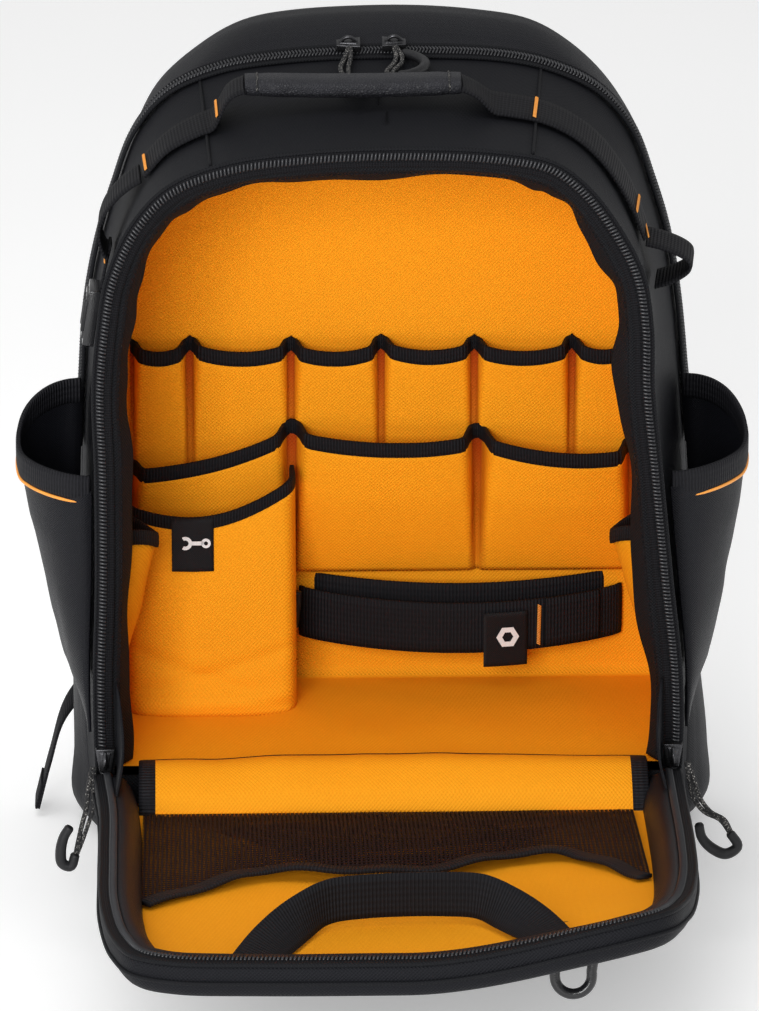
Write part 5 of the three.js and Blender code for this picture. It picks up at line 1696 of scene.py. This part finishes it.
def settle(piece, place, axes, stands_for=()):
    """Turns a finished piece's mesh into its place on the bag, in millimetres."""
    x, y, z = (Vector(axis).normalized() for axis in axes)
    for vertex in piece.data.vertices:
        vertex.co = (x * vertex.co.x + y * vertex.co.y + z * vertex.co.z) + Vector(place) * 0.001
    piece.data.update()
    piece.location, piece.rotation_euler, piece.scale = (0, 0, 0), (0, 0, 0), (1, 1, 1)
    piece.select_set(False)
    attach(piece, "root")
    if stands_for:
        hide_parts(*stands_for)
    return piece


def select_faces(piece, test):
    bpy.ops.mesh.select_all(action="DESELECT")
    bpy.ops.object.mode_set(mode="OBJECT")
    for face in piece.data.polygons:
        face.select = bool(test(face))
    bpy.ops.object.mode_set(mode="EDIT")
    bpy.ops.mesh.select_mode(type="FACE")


def block(width, depth, height):
    bpy.ops.mesh.primitive_cube_add(size=1, location=(0, 0, 0))
    piece = bpy.context.object
    piece.scale = (width * 0.001, depth * 0.001, height * 0.001)
    bpy.ops.object.transform_apply(location=False, rotation=False, scale=True)
    return piece


def buckle_body():
    piece = block(26, 35, 7)
    bpy.ops.object.mode_set(mode="EDIT")
    select_faces(piece, lambda face: face.normal.z > 0.9)
    bpy.ops.mesh.inset(thickness=0.0035)
    bpy.ops.mesh.extrude_region_move(TRANSFORM_OT_translate={"value": (0, 0, 0.0012)})
    bpy.ops.mesh.inset(thickness=0.003)
    bpy.ops.mesh.extrude_region_move(TRANSFORM_OT_translate={"value": (0, 0, -0.0016)})
    bpy.ops.object.mode_set(mode="OBJECT")
    return piece


def side_frame(z):
    """The shell's side at the haul webbing: its place, and the ways back, up and out."""
    here = np.array([shell_x(-1, HAUL_DEPTH, z), HAUL_Y, z])
    upward = unit(np.array([shell_x(-1, HAUL_DEPTH, z + 10), HAUL_Y, z + 10]) - here)
    backward = unit(np.array([shell_x(-1, 90, z), RIM_Y + 90, z]) - here)
    return here, backward, upward, unit(np.cross(upward, backward))


here, backward, upward, outward = side_frame(378.5)
if outward[0] > 0:
    outward = -outward
buckle = hard("side_release_buckle", buckle_body, glossy, bevel=0.9)
settle(buckle, here + outward * 5.4, (backward, upward, outward), ["side_buckle"])
for k, offset in enumerate((-7.5, 7.5)):
    prong = hard(f"buckle_prong_{k}", lambda: block(4.2, 20, 3.4), moulded, bevel=0.8)
    settle(prong, here + outward * 9.4 + backward * offset, (backward, upward, outward))
line = np.array([side_frame(z)[0] + outward * 2.2 for z in np.linspace(424, 392, 14)])
band("buckle_webbing", line, np.tile(backward, (14, 1)), 20, 2.0, webbing, "webbing", power=8)

# The zip sliders: cast dark metal, with a crown over the cord's loop and a tapered nose.
metal = Finish("slider_metal", Metallic=0.9, Roughness=0.3)
metal.colour(metal.blend(metal.cloud(300), (0.03, 0.03, 0.033, 1), (0.09, 0.09, 0.095, 1)))
metal.feed("Roughness", metal.cloud(900, 2) * 0.25 + 0.18)
metal.relief(metal.cloud(700), 0.0001)


def slider_body():
    piece = block(11.6, 14.6, 4.6)
    bpy.ops.object.mode_set(mode="EDIT")
    select_faces(piece, lambda face: face.normal.y < -0.9)
    bpy.ops.transform.resize(value=(0.62, 1, 0.8))
    select_faces(piece, lambda face: face.normal.z > 0.9)
    bpy.ops.mesh.inset(thickness=0.0022)
    bpy.ops.mesh.extrude_region_move(TRANSFORM_OT_translate={"value": (0, 0, 0.0008)})
    bpy.ops.object.mode_set(mode="OBJECT")
    return piece


front_arch = inset(shell_at(arch_places(HINGE_Z + 7.5, 400), 0), ZIP_WIDTH / 2)
for name, pull in PULLS.items():
    if name.startswith("front"):
        foot = front_arch[0] if name.endswith("left") else front_arch[-1]
        place = np.array([foot[0], RIM_Y - 0.8 - 3 - 3, foot[2] + 4.6])
        axes = ((1, 0, 0), (0, 0, 1), (0, -1, 0))
    else:
        x = pull["cord"][0][0]
        tilt = math.radians(16)
        place = np.array([x, SEAM_Y - 1, top_z(x, MAIN_DEPTH) + 7.2])
        axes = (
            (0, math.cos(tilt), math.sin(tilt)),
            (1 if name.endswith("left") else -1, 0, 0),
            (0, -math.sin(tilt), math.cos(tilt)),
        )
    slider = hard(f"{name}_cast_slider", slider_body, metal, bevel=0.7)
    settle(slider, place, axes, [f"{name}_slider"])
    a, b, c = (unit(np.array(axis, float)) for axis in axes)
    crown = [
        place + b * (-5 + k * 1.0) + c * (2.0 + 3.6 * math.sin(math.pi * (k + 0.3) / 10.6))
        for k in range(11)
    ]
    bead(f"{name}_slider_crown", smooth_line(crown, 30), 2.4, metal, sides=12)

# The back panel: foam under spacer mesh, swollen by its padding and quilted by two channels.
spacer = Finish("spacer_mesh", Roughness=0.85, Specular_IOR_Level=0.15)
cells = spacer.node(
    "ShaderNodeTexVoronoi", {"feature": "DISTANCE_TO_EDGE"}, {"Vector": spacer.place(), "Scale": 330.0}, 0
)
spacer.colour(spacer.blend(cells * 3.2, (0.028, 0.028, 0.031, 1), (0.007, 0.007, 0.008, 1)))
spacer.relief(1 - cells * 2.0, 0.0011)


def padded_piece(name, points, faces, limit, finish, stands_for, pinch=None):
    """Closed pad: remeshed, blown up a little by the Cloth simulation, then smoothed."""
    piece = make_piece(name, points, faces, finish, stands_for)
    tidy_shell(piece)
    bpy.ops.object.select_all(action="DESELECT")
    piece.select_set(True)
    bpy.context.view_layer.objects.active = piece
    remesh = piece.modifiers.new("voxels", "REMESH")
    remesh.mode, remesh.voxel_size, remesh.use_smooth_shade = "VOXEL", 0.005, True
    bpy.ops.object.modifier_apply(modifier=remesh.name)
    start = np.array([vertex.co for vertex in piece.data.vertices])
    soft = piece.modifiers.new("cloth", "CLOTH")
    soft.settings.use_pressure = True
    soft.settings.uniform_pressure_force = 4.0
    soft.settings.tension_stiffness = soft.settings.compression_stiffness = 18
    soft.settings.effector_weights.gravity = 0.0
    soft.point_cache.frame_start, soft.point_cache.frame_end = 1, 20
    for step in range(1, 21):
        bpy.context.scene.frame_set(step)
    bpy.ops.object.modifier_apply(modifier=soft.name)
    bpy.context.scene.frame_set(1)
    moved = np.array([vertex.co for vertex in piece.data.vertices]) - start
    far = np.linalg.norm(moved, axis=1, keepdims=True)
    moved *= np.minimum(1, limit * 0.001 / np.maximum(far, 1e-9))
    final = start + moved
    if pinch is not None:
        final = pinch(final)
    for vertex, at in zip(piece.data.vertices, final):
        vertex.co = at
    finer = piece.modifiers.new("finer", "SUBSURF")
    finer.levels = finer.render_levels = 1
    bpy.ops.object.modifier_apply(modifier=finer.name)
    piece.data.polygons.foreach_set("use_smooth", [True] * len(piece.data.polygons))
    piece.select_set(False)
    return piece


def grid_faces(rows, count, ring=False):
    faces = []
    for i in range(rows - 1):
        for j in range(count - (0 if ring else 1)):
            k = (j + 1) % count
            faces.append((i * count + j, i * count + k, (i + 1) * count + k, (i + 1) * count + j))
    return faces


def pad_ring(edge, place):
    t = arch_places(40, 200)
    arch = inset(back_at(t, BACK_Y + place), edge)
    foot, top = 40 + edge - 34, arch[:, 2].max()
    lowest = arch[0, 2]
    arch[:, 2] = foot + (arch[:, 2] - lowest) / (top - lowest) * (top - foot)
    share = np.linspace(0, 1, 41)[1:-1, None]
    return np.vstack([arch, arch[-1] * (1 - share) + arch[0] * share])


rings = [pad_ring(36, 0.6), pad_ring(36, 5), pad_ring(39, 9), pad_ring(48, 11.5)]
middle = np.array([0, BACK_Y + 11.5, 270])
rings += [middle + (rings[3] - middle) * share for share in (0.75, 0.5, 0.25)]
front_middle = np.array([0, BACK_Y + 0.6, 270])
rings = [front_middle + (rings[0] - front_middle) * share for share in (0.25, 0.5, 0.8)] + rings
count = len(rings[0])
points = np.vstack(rings)
faces = grid_faces(len(rings), count, True) + [
    tuple(range(count))[::-1], tuple((len(rings) - 1) * count + j for j in range(count))
]


def quilt(points):
    """Two upright channels and one across press the panel in."""
    depth = np.zeros(len(points))
    for x in (-0.052, 0.052):
        depth += 0.0075 * np.exp(-(((points[:, 0] - x) / 0.006) ** 2)) * (points[:, 2] < 0.46)
    for z in (0.17, 0.33):
        depth += 0.0065 * np.exp(-(((points[:, 2] - z) / 0.006) ** 2))
    outer_face = points[:, 1] > 0.1255
    points = points.copy()
    points[:, 1] -= np.minimum(depth, 0.008) * outer_face
    points[:, 1] = np.clip(points[:, 1], 0.1184, 0.1375)
    return points


padded_piece("back_panel_pad", points, faces, 6, spacer, ["back_pad"], quilt)

# The shoulder straps: contoured foam straps under spacer mesh with bound edges, sewn to the top
# of the back, with webbing down their middles, ladder locks and free lower webbing.
SHOULDER_ROWS = [
    (42, 0, 486, 70),
    (47, 12, 462, 70),
    (54, 32, 410, 68),
    (60, 40, 340, 64),
    (70, 38, 270, 58),
    (84, 30, 205, 50),
    (96, 24, 168, 42),
]
BEHIND = BACK_Y + 14.4
STRAP_ROWS, STRAP_SIDES = 70, 26
STRAP_HALF_DEPTH = 4.6
for side, name in ((-1, "left"), (1, "right")):
    chosen = [(side * x, BEHIND + back_by + 6.4, z) for x, back_by, z, _ in SHOULDER_ROWS]
    spine = smooth_line(chosen, STRAP_ROWS)
    upwards = SHOULDER_ROWS[::-1]
    widths = np.interp(spine[::-1, 2], [row[2] for row in upwards], [row[3] for row in upwards])[::-1]
    across = np.tile([1.0, 0.0, 0.0], (STRAP_ROWS, 1))
    run = unit(np.gradient(spine, axis=0))
    out = unit(np.cross(run, across))
    out *= np.where(out[:, 1:2] < 0, -1, 1)
    angles = np.linspace(0, 2 * math.pi, STRAP_SIDES, endpoint=False)
    c, s = np.cos(angles), np.sin(angles)
    reach = (np.abs(c) ** 4 + np.abs(s) ** 4) ** -0.25
    points = (
        spine[:, None] + across[:, None] * (c * reach)[None, :, None] * (
            widths[:, None, None] / 2 - 2
        ) + out[:, None] * (s * reach * STRAP_HALF_DEPTH)[None, :, None]
    ).reshape(-1, 3)
    first_end = tuple(range(STRAP_SIDES))[::-1]
    last_end = tuple((STRAP_ROWS - 1) * STRAP_SIDES + j for j in range(STRAP_SIDES))
    faces = grid_faces(STRAP_ROWS, STRAP_SIDES, True) + [first_end, last_end]
    padded_piece(f"{name}_shoulder_pad", points, faces, 5, spacer, [f"{name}_shoulder_strap"])
    for edge, label_of in ((-1, "inner"), (1, "outer")):
        line = spine + across * (edge * side * (widths / 2 - 1.2))[:, None]
        band(f"{name}_{label_of}_strap_binding", line, out, 9.5, 4.0, side_binding, "binding", section=12)
    middle_line = spine[6:] + out[6:] * 6.6
    band(
        f"{name}_strap_centre_webbing",
        middle_line,
        across[6:],
        25,
        2.0,
        webbing,
        "webbing",
        power=8,
        section=16,
    )

    def lock_body():
        piece = block(34, 26, 6)
        bpy.ops.object.mode_set(mode="EDIT")
        bpy.ops.mesh.select_all(action="SELECT")
        bpy.ops.mesh.bisect(plane_co=(0, 0.004, 0), plane_no=(0, 1, 0))
        bpy.ops.mesh.select_all(action="SELECT")
        bpy.ops.mesh.bisect(plane_co=(0, -0.004, 0), plane_no=(0, 1, 0))
        select_faces(piece, lambda face: face.normal.z > 0.9 and abs(face.center.y) > 0.004)
        bpy.ops.mesh.inset(thickness=0.0026, use_individual=True)
        bpy.ops.mesh.extrude_region_move(TRANSFORM_OT_translate={"value": (0, 0, -0.004)})
        select_faces(piece, lambda face: face.normal.z > 0.9 and abs(face.center.y) < 0.004)
        bpy.ops.mesh.inset(thickness=0.0012)
        bpy.ops.mesh.extrude_region_move(TRANSFORM_OT_translate={"value": (0, 0, 0.0014)})
        bpy.ops.object.mode_set(mode="OBJECT")
        return piece

    x, back_by, z, _ = SHOULDER_ROWS[-1]
    lock = hard(f"{name}_moulded_lock", lock_body, moulded, bevel=0.7)
    settle(
        lock,
        (side * x, BEHIND + back_by + 5.6, z - 15.1),
        ((1, 0, 0), (0, 0, 1), (0, 1, 0)),
        [f"{name}_ladder_lock"],
    )
    lower = smooth_line(
        [
            (side * x, BEHIND + back_by, z)
            for x, back_by, z in ((100, 23.8, 144), (118, 17, 110), (138, 8, 80), (160, 0, 54))
        ],
        50,
    )
    band(
        f"{name}_lower_strap_webbing",
        lower,
        np.tile([1.0, 0, 0], (50, 1)),
        25,
        2.2,
        webbing,
        "webbing",
        [f"{name}_lower_webbing"],
        power=8,
        section=16,
    )

# The free tail of the left strap hangs out beside the bag, and its end is folded and sewn.
TAIL_ROWS = [
    (-112, 39.8, 120, 0),
    (-142, 38, 102, 0.1),
    (-172, 24, 86, 0.35),
    (-200, -5, 65, 0.8),
    (-210, -17, 37, 1),
    (-218, -21, 7, 1),
]
line = smooth_line([(x, BACK_Y + back_by, z) for x, back_by, z, _ in TAIL_ROWS], 90)
turns_at = np.interp(np.linspace(0, 1, 90), np.linspace(0, 1, 6), [row[3] for row in TAIL_ROWS])[:, None]
across = unit(np.array([0.2, 0, 1.0]) * (1 - turns_at) + np.array([0, 1.0, 0.1]) * turns_at)
band("free_strap_tail", line, across, 25, 2.2, webbing, "webbing", ["strap_tail"], power=8, section=16)
band(
    "strap_tail_fold",
    line[-9:] + (-1.6, 0, 0),
    across[-9:],
    25,
    2.0,
    webbing,
    "webbing",
    power=8,
    section=16,
)
